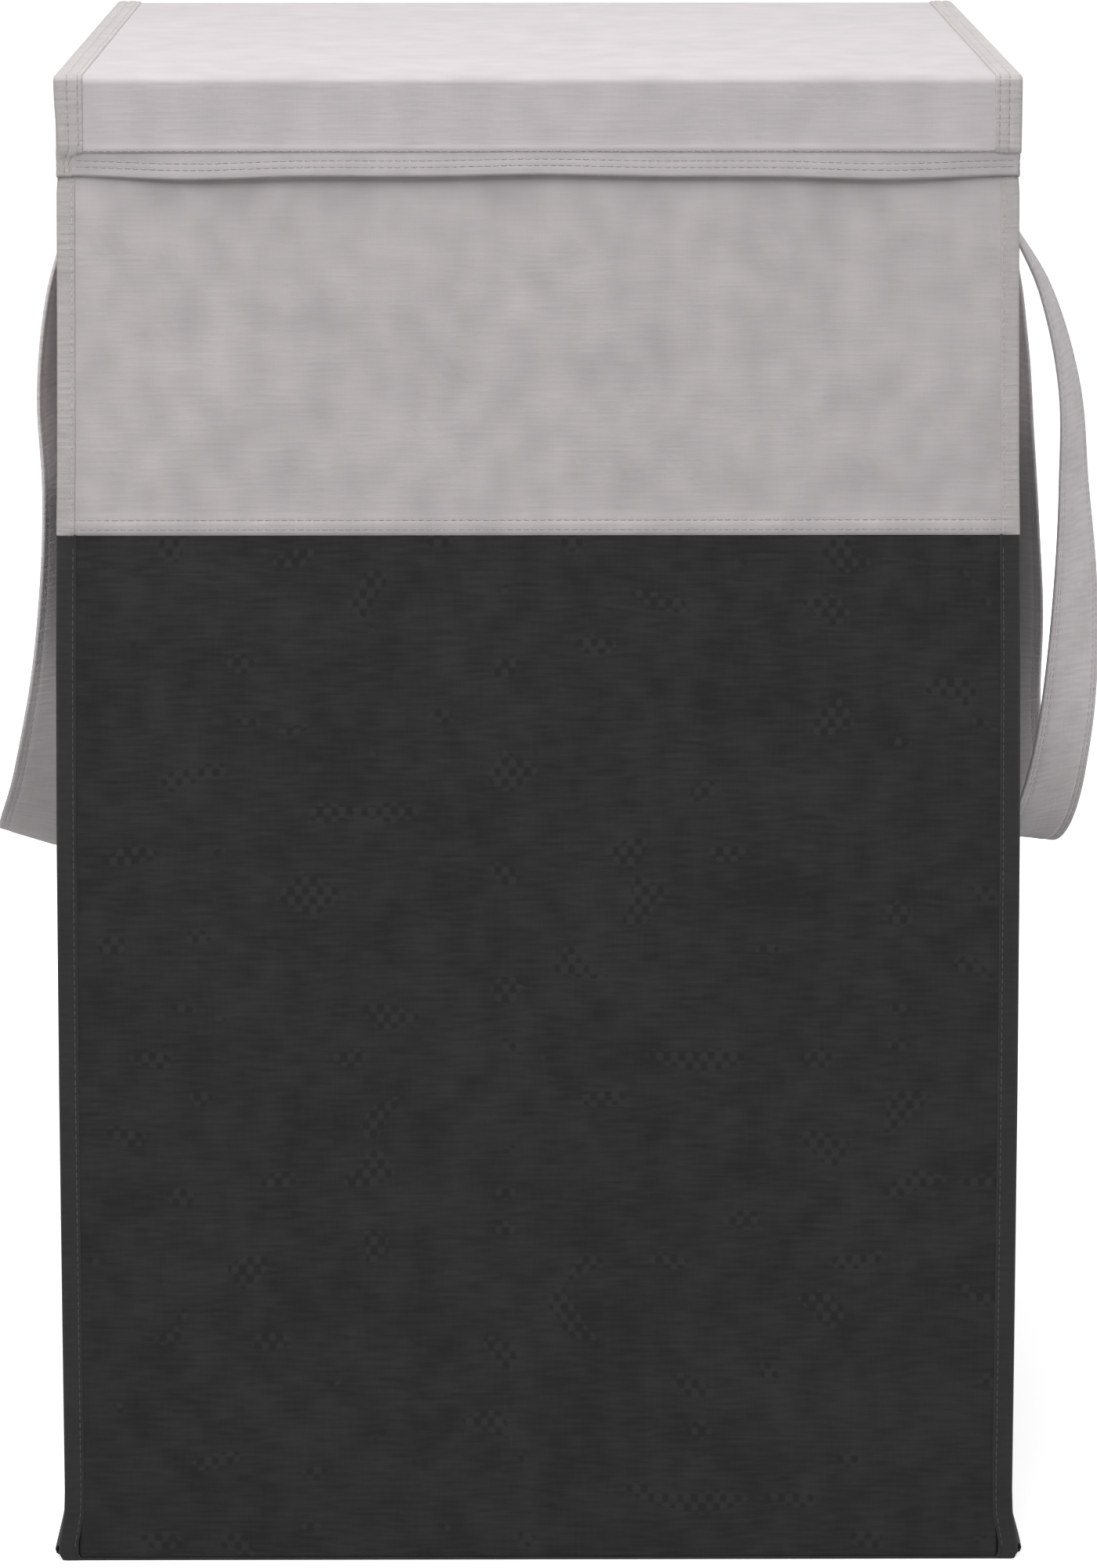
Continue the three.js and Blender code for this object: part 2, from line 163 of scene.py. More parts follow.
for lamp_name, lamp_place, lamp_size, lamp_power in lamps:
    lamp_data = bpy.data.lights.new(lamp_name, "AREA")
    lamp_data.shape = "SQUARE"
    lamp_data.size = lamp_size
    lamp_data.energy = lamp_power
    lamp = bpy.data.objects.new(lamp_name, lamp_data)
    lamp.location = lamp_place
    lamp.rotation_euler = (lamp_target - lamp_place).to_track_quat("-Z", "Y").to_euler()
    scene.collection.objects.link(lamp)


# Stiffening boards. Grey chipboard sheets inside the walls and the lid, the loose board on the base
# and the board of the divider. They are cut flat and square and stay as the frame has them.
board_colour = (0.36, 0.325, 0.275, 1)
board_fleck_size = 0.0016
board_fibre_length = 0.012
board_fibre_width = 0.0009
board_fleck_share = 0.5
board_fibre_share = 0.35
board_roughness = 0.9
board_relief = 0.00008
cloth_gloss = 0.25


def feed(tree, value, socket):
    """Links a socket's value, or types a number in."""
    if isinstance(value, bpy.types.NodeSocket):
        tree.links.new(value, socket)
    else:
        socket.default_value = value


def work_out(tree, operation, first, second=0.0, third=0.0):
    step = tree.nodes.new("ShaderNodeMath")
    step.operation = operation
    for value, socket in zip((first, second, third), step.inputs):
        feed(tree, value, socket)
    return step.outputs[0]


def blotches(tree, place, across, along, detail=2.0, flat=True):
    """Soft noise around zero, with blotches of about the given size in metres."""
    stretch = tree.nodes.new("ShaderNodeVectorMath")
    stretch.operation = "MULTIPLY"
    tree.links.new(place, stretch.inputs[0])
    stretch.inputs[1].default_value = (1 / across, 1 / along, 1 / across)
    pattern = tree.nodes.new("ShaderNodeTexNoise")
    pattern.noise_dimensions = "2D" if flat else "3D"
    pattern.inputs["Scale"].default_value = 1
    pattern.inputs["Detail"].default_value = detail
    tree.links.new(stretch.outputs[0], pattern.inputs["Vector"])
    return work_out(tree, "SUBTRACT", pattern.outputs[0], 0.5)


def shaded_colour(tree, colour, variation, span=0.5):
    """The colour, darker where the variation is below zero and lighter where it is above."""
    mix = tree.nodes.new("ShaderNodeMix")
    mix.data_type = "RGBA"
    tree.links.new(work_out(tree, "MULTIPLY_ADD", variation, 0.5 / span, 0.5), mix.inputs["Factor"])
    mix.inputs[6].default_value = tuple(c * (1 - span) for c in colour[:3]) + (1,)
    mix.inputs[7].default_value = tuple(c * (1 + span) for c in colour[:3]) + (1,)
    return mix.outputs[2]


def relief(tree, shader, height, depth):
    bump = tree.nodes.new("ShaderNodeBump")
    bump.inputs["Distance"].default_value = depth
    tree.links.new(height, bump.inputs["Height"])
    tree.links.new(bump.outputs["Normal"], shader.inputs["Normal"])


def new_material(name, roughness):
    material = bpy.data.materials.new(name)
    material.use_nodes = True
    shader = material.node_tree.nodes["Principled BSDF"]
    shader.inputs["Roughness"].default_value = roughness
    shader.inputs["Specular IOR Level"].default_value = cloth_gloss
    return material, material.node_tree, shader


def chipboard():
    material, tree, shader = new_material("grey_chipboard", board_roughness)
    place = tree.nodes.new("ShaderNodeTexCoord").outputs["Object"]
    flecks = blotches(tree, place, board_fleck_size, board_fleck_size, 3.0, flat=False)
    fibres = blotches(tree, place, board_fibre_length, board_fibre_width, 1.0, flat=False)
    grain = work_out(tree, "ADD", work_out(tree, "MULTIPLY", flecks, board_fleck_share),
                     work_out(tree, "MULTIPLY", fibres, board_fibre_share))
    tree.links.new(shaded_colour(tree, board_colour, grain), shader.inputs["Base Color"])
    relief(tree, shader, grain, board_relief)
    return material


board_material = chipboard()
for board_name, board in frame["nodes"].items():
    if board_name.endswith("_board"):
        board.data.materials.clear()
        board.data.materials.append(board_material)


# Base cover. The black cloth under the hamper, stretched over the foot of the walls. It is a stiff
# non-woven cloth pressed to look like linen, and the same cloth covers the lower walls.
black_colour = (0.014, 0.014, 0.0139, 1)
linen_relief = 0.00016
cover_cell = 0.008
cover_edge = 0.0008


def linen(name, colour, clouds, streaks, ribs, checks, grit, depth=linen_relief, roughness=0.9,
          gloss=cloth_gloss, sheen=0.08):
    """Cloth whose weft runs along the first coordinate of the piece's own map, in metres."""
    fuzz_roughness = 0.6
    rib_pitch = 0.0034
    rib_share = 0.4
    yarn_pitch = 0.0011
    check_across = 0.0063
    check_along = 0.0086
    # The checks show only in patches, where their noise is near its peak
    patch_start = 0.245
    patch_full = 0.262
    # Each kind of mark: its size along the weft and along the warp, and its finer detail
    marks = {
        "cloud": (0.06, 0.045, 2.0),
        "block": (0.014, 0.017, 0.5),
        "dash": (0.011, 0.0018, 0.5),
        "streak": (0.026, 0.0012, 1.0),
        "slub": (0.0014, 0.013, 1.0),
        "speck": (0.0006, 0.0005, 2.0),
        "patch": (0.028, 0.018, 0.0),
    }
    material, tree, shader = new_material(name, roughness)
    shader.inputs["Specular IOR Level"].default_value = gloss
    shader.inputs["Sheen Weight"].default_value = sheen
    shader.inputs["Sheen Roughness"].default_value = fuzz_roughness
    weave = tree.nodes.new("ShaderNodeUVMap")
    weave.uv_map = "weave"
    place = weave.outputs["UV"]
    split = tree.nodes.new("ShaderNodeSeparateXYZ")
    tree.links.new(place, split.inputs[0])
    weft, warp = split.outputs[0], split.outputs[1]
    mark = {kind: blotches(tree, place, *size) for kind, size in marks.items()}

    def ripple(value, pitch):
        return work_out(tree, "SINE", work_out(tree, "MULTIPLY", value, 2 * math.pi / pitch))

    wander = work_out(tree, "MULTIPLY", mark["block"], rib_pitch)
    rib = work_out(tree, "MULTIPLY", ripple(work_out(tree, "ADD", warp, wander), rib_pitch),
                   work_out(tree, "ADD", mark["cloud"], rib_share))
    patch = tree.nodes.new("ShaderNodeMapRange")
    patch.interpolation_type = "SMOOTHSTEP"
    patch.inputs["From Min"].default_value = patch_start
    patch.inputs["From Max"].default_value = patch_full
    tree.links.new(mark["patch"], patch.inputs["Value"])
    diamond = work_out(tree, "MULTIPLY", ripple(weft, check_across), ripple(warp, check_along))
    check = work_out(tree, "MULTIPLY", diamond, patch.outputs[0])
    yarn = work_out(tree, "MULTIPLY", ripple(weft, yarn_pitch), ripple(warp, yarn_pitch))

    def total(*parts):
        result = 0.0
        for strength, part in parts:
            scaled = work_out(tree, "MULTIPLY", part, strength)
            result = work_out(tree, "ADD", scaled, result)
        return result

    # How strongly each mark shows, in the colour and then in the relief
    tint = total((clouds, mark["cloud"]), (clouds, mark["block"]), (streaks, mark["dash"]),
                 (streaks * 0.6, mark["streak"]), (streaks * 0.35, mark["slub"]), (ribs, rib),
                 (checks, check), (grit, mark["speck"]))
    height = total((1.0, mark["dash"]), (0.7, mark["streak"]), (0.35, mark["slub"]), (0.22, rib),
                   (0.4, check), (0.35, mark["speck"]), (0.16, yarn))
    tree.links.new(shaded_colour(tree, colour, tint), shader.inputs["Base Color"])
    relief(tree, shader, height, depth)
    return material


def spans(start, end, cell, edge=cover_edge):
    """Stops from start to end about a cell apart, with one more close to each end for a crisp edge."""
    count = max(1, round((end - start - 2 * edge) / cell))
    inner = [start + edge + (end - start - 2 * edge) * step / count for step in range(count + 1)]
    return [start] + inner + [end]


def cloth(name, across, along, place, thickness, grain=(0.0, 0.0)):
    """A closed sheet of cloth. place(a, b) gives a point of its middle surface, outside where
    a to the right and b up are seen the right way round. The map called weave holds a and b,
    moved by grain, so that no two pieces of cloth show the same marks."""
    edge_round_share = 0.8
    if not callable(thickness):
        even = thickness

        def thickness(_, __):
            return even

    columns, rows = len(across), len(along)
    middle = [[place(a, b) for a in across] for b in along]
    points, flat_places = [], []
    index = {}

    def add(layer, i, j, point):
        index[layer, i, j] = len(points)
        points.append(point)
        flat_places.append((across[i] + grain[0], along[j] + grain[1]))

    for j in range(rows):
        for i in range(columns):
            right = (middle[j][min(i + 1, columns - 1)] - middle[j][max(i - 1, 0)]).normalized()
            up = (middle[min(j + 1, rows - 1)][i] - middle[max(j - 1, 0)][i]).normalized()
            outward = right.cross(up).normalized()
            half = thickness(across[i], along[j]) / 2
            add("outer", i, j, middle[j][i] + outward * half)
            add("inner", i, j, middle[j][i] - outward * half)
            past = up * ((j == rows - 1) - (j == 0)) + right * ((i == columns - 1) - (i == 0))
            if past.length > 0:
                add("rim", i, j, middle[j][i] + past * half * edge_round_share)

    faces = []
    for j in range(rows - 1):
        for i in range(columns - 1):
            corners = ((i, j), (i + 1, j), (i + 1, j + 1), (i, j + 1))
            faces.append([index["outer", *corner] for corner in corners])
            faces.append([index["inner", *corner] for corner in reversed(corners)])
    border = [(i, 0) for i in range(columns - 1)]
    border += [(columns - 1, j) for j in range(rows - 1)]
    border += [(i, rows - 1) for i in range(columns - 1, 0, -1)]
    border += [(0, j) for j in range(rows - 1, 0, -1)]
    for here, there in zip(border, border[1:] + border[:1]):
        for near, far in (("outer", "rim"), ("rim", "inner")):
            faces.append([index[near, *here], index[far, *here], index[far, *there], index[near, *there]])
    return solid(name, points, faces, flat_places)


def solid(name, points, faces, flat_places):
    mesh = bpy.data.meshes.new(name)
    mesh.from_pydata(points, [], faces)
    weave = mesh.uv_layers.new(name="weave")
    for loop in mesh.loops:
        weave.data[loop.index].uv = flat_places[loop.vertex_index]
    mesh.shade_smooth()
    piece = bpy.data.objects.new(name, mesh)
    scene.collection.objects.link(piece)
    return piece


def dress(piece, material, slot, body, *nodes):
    """Gives a finished piece its cloth, fixes it to its body and puts it in its nodes' place. Its slot is
    not used.
    """
    if material:
        piece.data.materials.append(material)
    if body:
        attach(piece, body)
    if nodes:
        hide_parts(*nodes)
    return piece


black_linen = linen("black_linen", black_colour, clouds=0.85, streaks=1.0, ribs=0.1, checks=1.15, grit=0.4,
                    roughness=0.58, gloss=0.17, sheen=0.03)

base_low, base_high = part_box("base_cover")
base_thickness = base_high.z - base_low.z
base_stops = spans(base_low.x, base_high.x, cover_cell), spans(base_low.y, base_high.y, cover_cell)


def base_place(a, b):
    return Vector((-a, b, base_low.z + base_thickness / 2))


base_cover = cloth("base_cover", *base_stops, base_place, base_thickness)
dress(base_cover, black_linen, "black_fabric", "shell", "base_cover")


# Wall covers. Each wall wears black cloth from the floor to the band and greige cloth above it. The
# greige cloth is folded under along its lower edge and topstitched over the black.
UP = Vector((0, 0, 1))
greige_colour = (0.475, 0.443, 0.447, 1)
lower_low, lower_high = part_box("front_lower_cover")
band_raise = 0.0009
band_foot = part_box("front_upper_cover")[0].z + band_raise
cover_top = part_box("front_upper_cover")[1].z
cover_thickness = lower_high.y - lower_low.y
half_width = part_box("right_lower_cover")[1].x
half_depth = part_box("back_lower_cover")[1].y
cover_tuck = 0.0012
# The greige cloth's folded foot: how far it laps over the black, its two rows of stitches and how
# deep they pinch it, and the heights above the foot where the fold swells and where it flattens out
band_lap = 0.008
band_rows = (0.0024, 0.0063)
band_row_end = 0.0045
band_pinches = (0.0001, 0.0003)
pinch_reach = 0.0009
band_roll = 0.0009
band_roll_foot = (-0.0002, 0.0016)
band_roll_head = (band_rows[1] - 0.001, band_rows[1] + 0.003)
band_flat_share = 0.75
# How far the cloth waves off its wall, how long the waves are, and how far from an edge they start
wall_softness = 0.00045
wall_ripple = 0.11
wall_soft_reach = (0.004, 0.05)
wall_seed_step = 7.3
wall_grain_step = 1.7

# Each wall: the way along it, the way out of it, half its width, and how far out its face lies
walls = {
    "front": (Vector((1, 0, 0)), Vector((0, -1, 0)), half_width, half_depth),
    "right": (Vector((0, 1, 0)), Vector((1, 0, 0)), half_depth, half_width),
    "back": (Vector((-1, 0, 0)), Vector((0, 1, 0)), half_width, half_depth),
    "left": (Vector((0, -1, 0)), Vector((-1, 0, 0)), half_depth, half_width),
}

pale_relief = 0.00007
greige_linen = linen("greige_linen", greige_colour, clouds=0.23, streaks=0.04, ribs=0.01, checks=0.0,
                     grit=0.07, depth=pale_relief)


def fade(value, start, end):
    share = min(max((value - start) / (end - start), 0), 1)
    return share * share * (3 - 2 * share)


def hump(value, centre, reach):
    return math.exp(-((value - centre) / reach) ** 2)


def wall_lift(side, along, height):
    """How far the cloth of a wall stands off its flat face: it is never quite taut."""
    _, _, half, _ = walls[side]
    from_edge = min(half - abs(along), height, cover_top - height)
    seed = list(walls).index(side)
    wave = noise.noise(Vector((along / wall_ripple, height / wall_ripple, seed * wall_seed_step)))
    return wall_softness * wave * fade(from_edge, *wall_soft_reach)


def on_wall(side, along, height, lift):
    direction, outward, _, reach = walls[side]
    return direction * along + outward * (reach + lift) + UP * height


def band_lift(height):
    """The rolled hem at the foot of the greige cloth, pinched along its row of stitches."""
    above = height - band_foot
    flattened = 1 - band_flat_share * fade(above, *band_roll_head)
    roll = band_roll * fade(above, *band_roll_foot) * flattened
    return roll - sum(pinch * hump(above, row, pinch_reach) for row, pinch in zip(band_rows, band_pinches))


# Stitches are threads laid along a row by Geometry Nodes
stitch_sizes = {
    "Stitch Pitch": 0.0034,
    "Stitch Length": 0.0029,
    "Thread Width": 0.00062,
    "Thread Height": 0.0005,
}
thread_sides = 6
thread_rings = 5
thread_unit = 0.5
thread_ply = 0.0005
thread_roughness = 0.55
# The small step that finds which way a piece of cloth runs at a point
probe = 0.0002
pale_thread_colour = (0.54, 0.515, 0.51, 1)
grey_thread_colour = (0.38, 0.355, 0.358, 1)
black_thread_colour = (0.085, 0.083, 0.081, 1)


def thread(name, colour):
    material, tree, shader = new_material(name, thread_roughness)
    place = tree.nodes.new("ShaderNodeTexCoord").outputs["Object"]
    ply = blotches(tree, place, thread_ply, thread_ply, 1.0, flat=False)
    tree.links.new(shaded_colour(tree, colour, ply), shader.inputs["Base Color"])
    relief(tree, shader, ply, thread_ply)
    return material


def stitch_tree():
    """Lays threads along lines of edges. The lines' facing attribute tells which way the cloth looks."""
    tree = bpy.data.node_groups.new("stitches", "GeometryNodeTree")
    tree.interface.new_socket("Rows", in_out="INPUT", socket_type="NodeSocketGeometry")
    for name in stitch_sizes:
        tree.interface.new_socket(name, in_out="INPUT", socket_type="NodeSocketFloat")
    tree.interface.new_socket("Thread", in_out="INPUT", socket_type="NodeSocketMaterial")
    tree.interface.new_socket("Stitches", in_out="OUTPUT", socket_type="NodeSocketGeometry")

    def add(kind, **settings):
        node = tree.nodes.new(kind)
        for setting, value in settings.items():
            setattr(node, setting, value)
        return node

    given = add("NodeGroupInput").outputs
    line = add("GeometryNodeMeshToCurve")
    tree.links.new(given["Rows"], line.inputs["Mesh"])
    spaced = add("GeometryNodeResampleCurve", mode="LENGTH")
    tree.links.new(line.outputs["Curve"], spaced.inputs["Curve"])
    tree.links.new(given["Stitch Pitch"], spaced.inputs["Length"])
    facing = add("GeometryNodeInputNamedAttribute", data_type="FLOAT_VECTOR")
    facing.inputs["Name"].default_value = "facing"
    flat = add("FunctionNodeAlignRotationToVector", axis="Z")
    tree.links.new(facing.outputs["Attribute"], flat.inputs["Vector"])
    turned = add("FunctionNodeAlignRotationToVector", axis="X", pivot_axis="Z")
    tree.links.new(flat.outputs["Rotation"], turned.inputs["Rotation"])
    tree.links.new(add("GeometryNodeInputTangent").outputs["Tangent"], turned.inputs["Vector"])
    thread_shape = add("GeometryNodeMeshUVSphere")
    thread_shape.inputs["Segments"].default_value = thread_sides
    thread_shape.inputs["Rings"].default_value = thread_rings
    thread_shape.inputs["Radius"].default_value = thread_unit
    size = add("ShaderNodeCombineXYZ")
    for axis, name in zip("XYZ", ("Thread Height", "Thread Width", "Stitch Length")):
        tree.links.new(given[name], size.inputs[axis])
    stretched = add("GeometryNodeTransform")
    stretched.inputs["Rotation"].default_value = (0, math.pi / 2, 0)
    tree.links.new(thread_shape.outputs["Mesh"], stretched.inputs["Geometry"])
    tree.links.new(size.outputs[0], stretched.inputs["Scale"])
    placed = add("GeometryNodeInstanceOnPoints")
    tree.links.new(spaced.outputs["Curve"], placed.inputs["Points"])
    tree.links.new(stretched.outputs["Geometry"], placed.inputs["Instance"])
    tree.links.new(turned.outputs["Rotation"], placed.inputs["Rotation"])
    smooth = add("GeometryNodeSetShadeSmooth")
    tree.links.new(placed.outputs["Instances"], smooth.inputs["Geometry"])
    real = add("GeometryNodeRealizeInstances")
    tree.links.new(smooth.outputs["Geometry"], real.inputs["Geometry"])
    coloured = add("GeometryNodeSetMaterial")
    tree.links.new(real.outputs["Geometry"], coloured.inputs["Geometry"])
    tree.links.new(given["Thread"], coloured.inputs["Material"])
    tree.links.new(coloured.outputs["Geometry"], add("NodeGroupOutput").inputs["Stitches"])
    return tree


stitches = stitch_tree()
pale_thread = thread("pale_thread", pale_thread_colour)
grey_thread = thread("grey_thread", grey_thread_colour)
black_thread = thread("black_thread", black_thread_colour)


def stitch_row(place, path, lift, side=1):
    """A row of stitches on a cloth: the points along it, each with the way its face looks."""
    row = []
    for a, b in path:
        right = place(a + probe, b) - place(a - probe, b)
        up = place(a, b + probe) - place(a, b - probe)
        facing = right.cross(up).normalized() * side
        row.append((place(a, b) + facing * lift, facing))
    return row


def sew(name, rows, thread_material, slot, body):
    """Turns rows of stitches into one mesh of threads."""
    mesh = bpy.data.meshes.new(name)
    knots = [knot for row in rows for knot in row]
    edges, start = [], 0
    for row in rows:
        edges += [(start + step, start + step + 1) for step in range(len(row) - 1)]
        start += len(row)
    mesh.from_pydata([point for point, _ in knots], edges, [])
    facing = mesh.attributes.new("facing", "FLOAT_VECTOR", "POINT")
    for index, (_, way) in enumerate(knots):
        facing.data[index].vector = way
    threads = bpy.data.objects.new(name, mesh)
    scene.collection.objects.link(threads)
    modifier = threads.modifiers.new("stitches", "NODES")
    modifier.node_group = stitches
    values = {**stitch_sizes, "Thread": thread_material}
    for socket in stitches.interface.items_tree:
        if socket.name in values:
            modifier[socket.identifier] = values[socket.name]
    sewn = bpy.data.meshes.new_from_object(threads.evaluated_get(bpy.context.evaluated_depsgraph_get()))
    threads.modifiers.clear()
    threads.data = sewn
    return dress(threads, None, slot, body)


# Heights above the foot of the band, closer where its hem rolls and beside its stitches
band_steps = [0, 0.0004, 0.0009, 0.0014, 0.0019, 0.0024, 0.0029, 0.0034, 0.0041, 0.0049, 0.0056, 0.006,
              0.0063, 0.0067, 0.0071, 0.0078, 0.0088, 0.01, 0.0115, 0.013]
band_seams = []
for wall_index, (side, (_, _, wall_half, _)) in enumerate(walls.items()):
    cover_across = spans(-wall_half + cover_tuck, wall_half - cover_tuck, cover_cell)

    def lower_place(a, b):
        return on_wall(side, a, b, wall_lift(side, a, b) - cover_thickness / 2)

    def upper_place(a, b):
        return on_wall(side, a, b, wall_lift(side, a, b) + band_lift(b) - cover_thickness / 2)

    lower_along = spans(lower_low.z, band_foot + band_lap, cover_cell)
    lower_cover = cloth(f"{side}_lower_cover", cover_across, lower_along, lower_place, cover_thickness,
                        grain=(wall_index * wall_grain_step, 0))
    dress(lower_cover, black_linen, "black_fabric", "shell", f"{side}_lower_cover")
    upper_along = [band_foot + step for step in band_steps]
    upper_along += spans(band_foot + band_steps[-1], cover_top, cover_cell)[1:]
    upper_cover = cloth(f"{side}_upper_cover", cover_across, upper_along, upper_place, cover_thickness,
                        grain=(wall_index * wall_grain_step, 3))
    dress(upper_cover, greige_linen, "pale_fabric", "shell", f"{side}_upper_cover")
    row_end = wall_half - band_row_end
    for row in band_rows:
        path = [(a, band_foot + row) for a in spans(-row_end, row_end, cover_cell)]
        band_seams.append(stitch_row(upper_place, path, cover_thickness / 2))

sew("band_stitches", band_seams, grey_thread, "pale_tape", "shell")


# Wall linings. A thin dark cloth inside each wall, from the base to the top edge. It is held along
# its edges only, so it is a little slack between them.
lining_colour = (0.046, 0.046, 0.045, 1)
lining_slack = 0.0012
lining_slack_bias = 0.2
lining_slack_reach = 0.06
lining_waves = (9, 5)
lining_seed = 20
lining_grain_step = 1.3
lining_cell = 0.012
lining_linen = linen("lining_cloth", lining_colour, clouds=0.3, streaks=0.3, ribs=0.0, checks=0.0, grit=0.4)

for wall_index, (side, (along_wall, outward, _, _)) in enumerate(walls.items()):
    lining_low, lining_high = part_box(f"{side}_lining")
    lining_half = max((lining_high - lining_low).dot(Vector(map(abs, along_wall))) / 2, 0)
    lining_reach = (lining_low + lining_high).dot(outward) / 2
    lining_thickness = abs((lining_high - lining_low).dot(outward))

    def lining_place(a, b):
        from_edge = min(lining_half - abs(a), b - lining_low.z, lining_high.z - b)
        wave = noise.noise(Vector((a * lining_waves[0], b * lining_waves[1], lining_seed + wall_index)))
        inward = lining_slack * max(wave + lining_slack_bias, 0) * fade(from_edge, 0, lining_slack_reach)
        return along_wall * -a + outward * (lining_reach - inward) + UP * b

    lining = cloth(f"{side}_lining", spans(-lining_half, lining_half, lining_cell),
                   spans(lining_low.z, lining_high.z, lining_cell), lining_place, lining_thickness,
                   grain=(wall_index * lining_grain_step, 6))
    dress(lining, lining_linen, "lining", "shell", f"{side}_lining")


# Corner bindings. Where two walls meet, their edges are sewn together and bound with a folded tape.
# The bound edge stands out sideways, more towards the floor, and flares where it meets the foot.
pale_tape_colour = (0.45, 0.424, 0.417, 1)
black_tape_colour = (0.024, 0.0235, 0.0233, 1)
tape_thickness = 0.0008
tape_edge_thickness = 0.0004
tape_edge_reach = 0.0007
tape_cell = 0.006
binding_widths = {"lower": 0.008, "upper": 0.0072}
binding_groove = 0.0012
binding_rise = 0.0014
binding_foot = 0.0004
# The tape's raw edge, from outside in: how far along the tape, and how far it stands off the cloth
binding_edge = ((0, -0.0002), (0.0003, -0.0001), (0.0007, 0), (binding_groove, -0.0003),
                (binding_groove + 0.0006, 0))
groove_index = 3
binding_row_ends = (0.004, 0.003)
# The lid hangs over the bindings from here up, so they lie flat
binding_flat_reach = (0.598, 0.604)
band_lift_reaches = ((0.001, 0.004), (-0.001, 0.003))
# The bound edge: how far it stands out at each height, and the points on its way out and back
fin_thickness = 0.0024
fin_heights = (0, 0.003, 0.008, 0.014, 0.021, 0.03, 0.1, 0.21, 0.318, 0.4, 0.45, 0.48, 0.545, 0.6, 0.642)
fin_reaches = (0.0062, 0.0078, 0.0078, 0.0066, 0.0054, 0.005, 0.005, 0.0049, 0.0044, 0.0035, 0.0026,
               0.0018, 0.0009, 0.0003, 0.0002)
fin_flare_top = 0.03
fin_roots = ((0, 0.0048), (0.06, 0.0036))
fin_backs = ((0.3, 0.0005), (0.55, 0))
fin_fronts = ((0.0022, 0.0001), (0.0034, 0))
corner_signs = {"left": -1, "right": 1, "front": -1, "back": 1}

pale_tape = linen("pale_tape", pale_tape_colour, clouds=0.1, streaks=0.16, ribs=0.05, checks=0.0, grit=0.1)
black_tape = linen("black_tape", black_tape_colour, clouds=0.25, streaks=0.4, ribs=0.05, checks=0.0,
                   grit=0.3)


def between(stops, values, where):
    """The value at a place between stops, on straight lines."""
    for low, high, first, second in zip(stops, stops[1:], values, values[1:]):
        if where <= high:
            return first + (second - first) * (where - low) / (high - low)
    return values[-1]


def arc(centre, radius, start, end, steps=6):
    """Points of an arc in a section, from one angle in degrees to another."""
    angles = [math.radians(start + (end - start) * step / steps) for step in range(steps + 1)]
    return [(centre[0] + radius * math.cos(angle), centre[1] + radius * math.sin(angle)) for angle in angles]


def follow(section):
    """How far along a section each of its points lies, and a function that gives the point there."""
    stops = [0]
    for near, far in zip(section, section[1:]):
        stops.append(stops[-1] + math.dist(near, far))
    points = [Vector(point) for point in section]
    return stops, lambda where: between(stops, points, where)


def corner_section(fin, flatness, width):
    """From the side wall, out along the back of the bound edge, round its fold and back over the front."""
    skin = tape_thickness / 2 * (1 - flatness)
    tip = skin + fin
    radius = fin_thickness / 2
    behind = -fin_thickness + skin
    front = tip - width
    section = [(skin + raised, along - width) for along, raised in binding_edge]
    section += [(skin + fin * share, -back) for share, back in fin_roots]
    section += [(skin + fin * share, behind - further) for share, further in fin_backs]
    section += arc((tip - radius, skin - radius), radius, -90, 90, steps=8)[1:]
    section += [(tip - inward, skin + raised) for inward, raised in fin_fronts]
    section += [(front + along, skin + raised) for along, raised in reversed(binding_edge)]
    return section


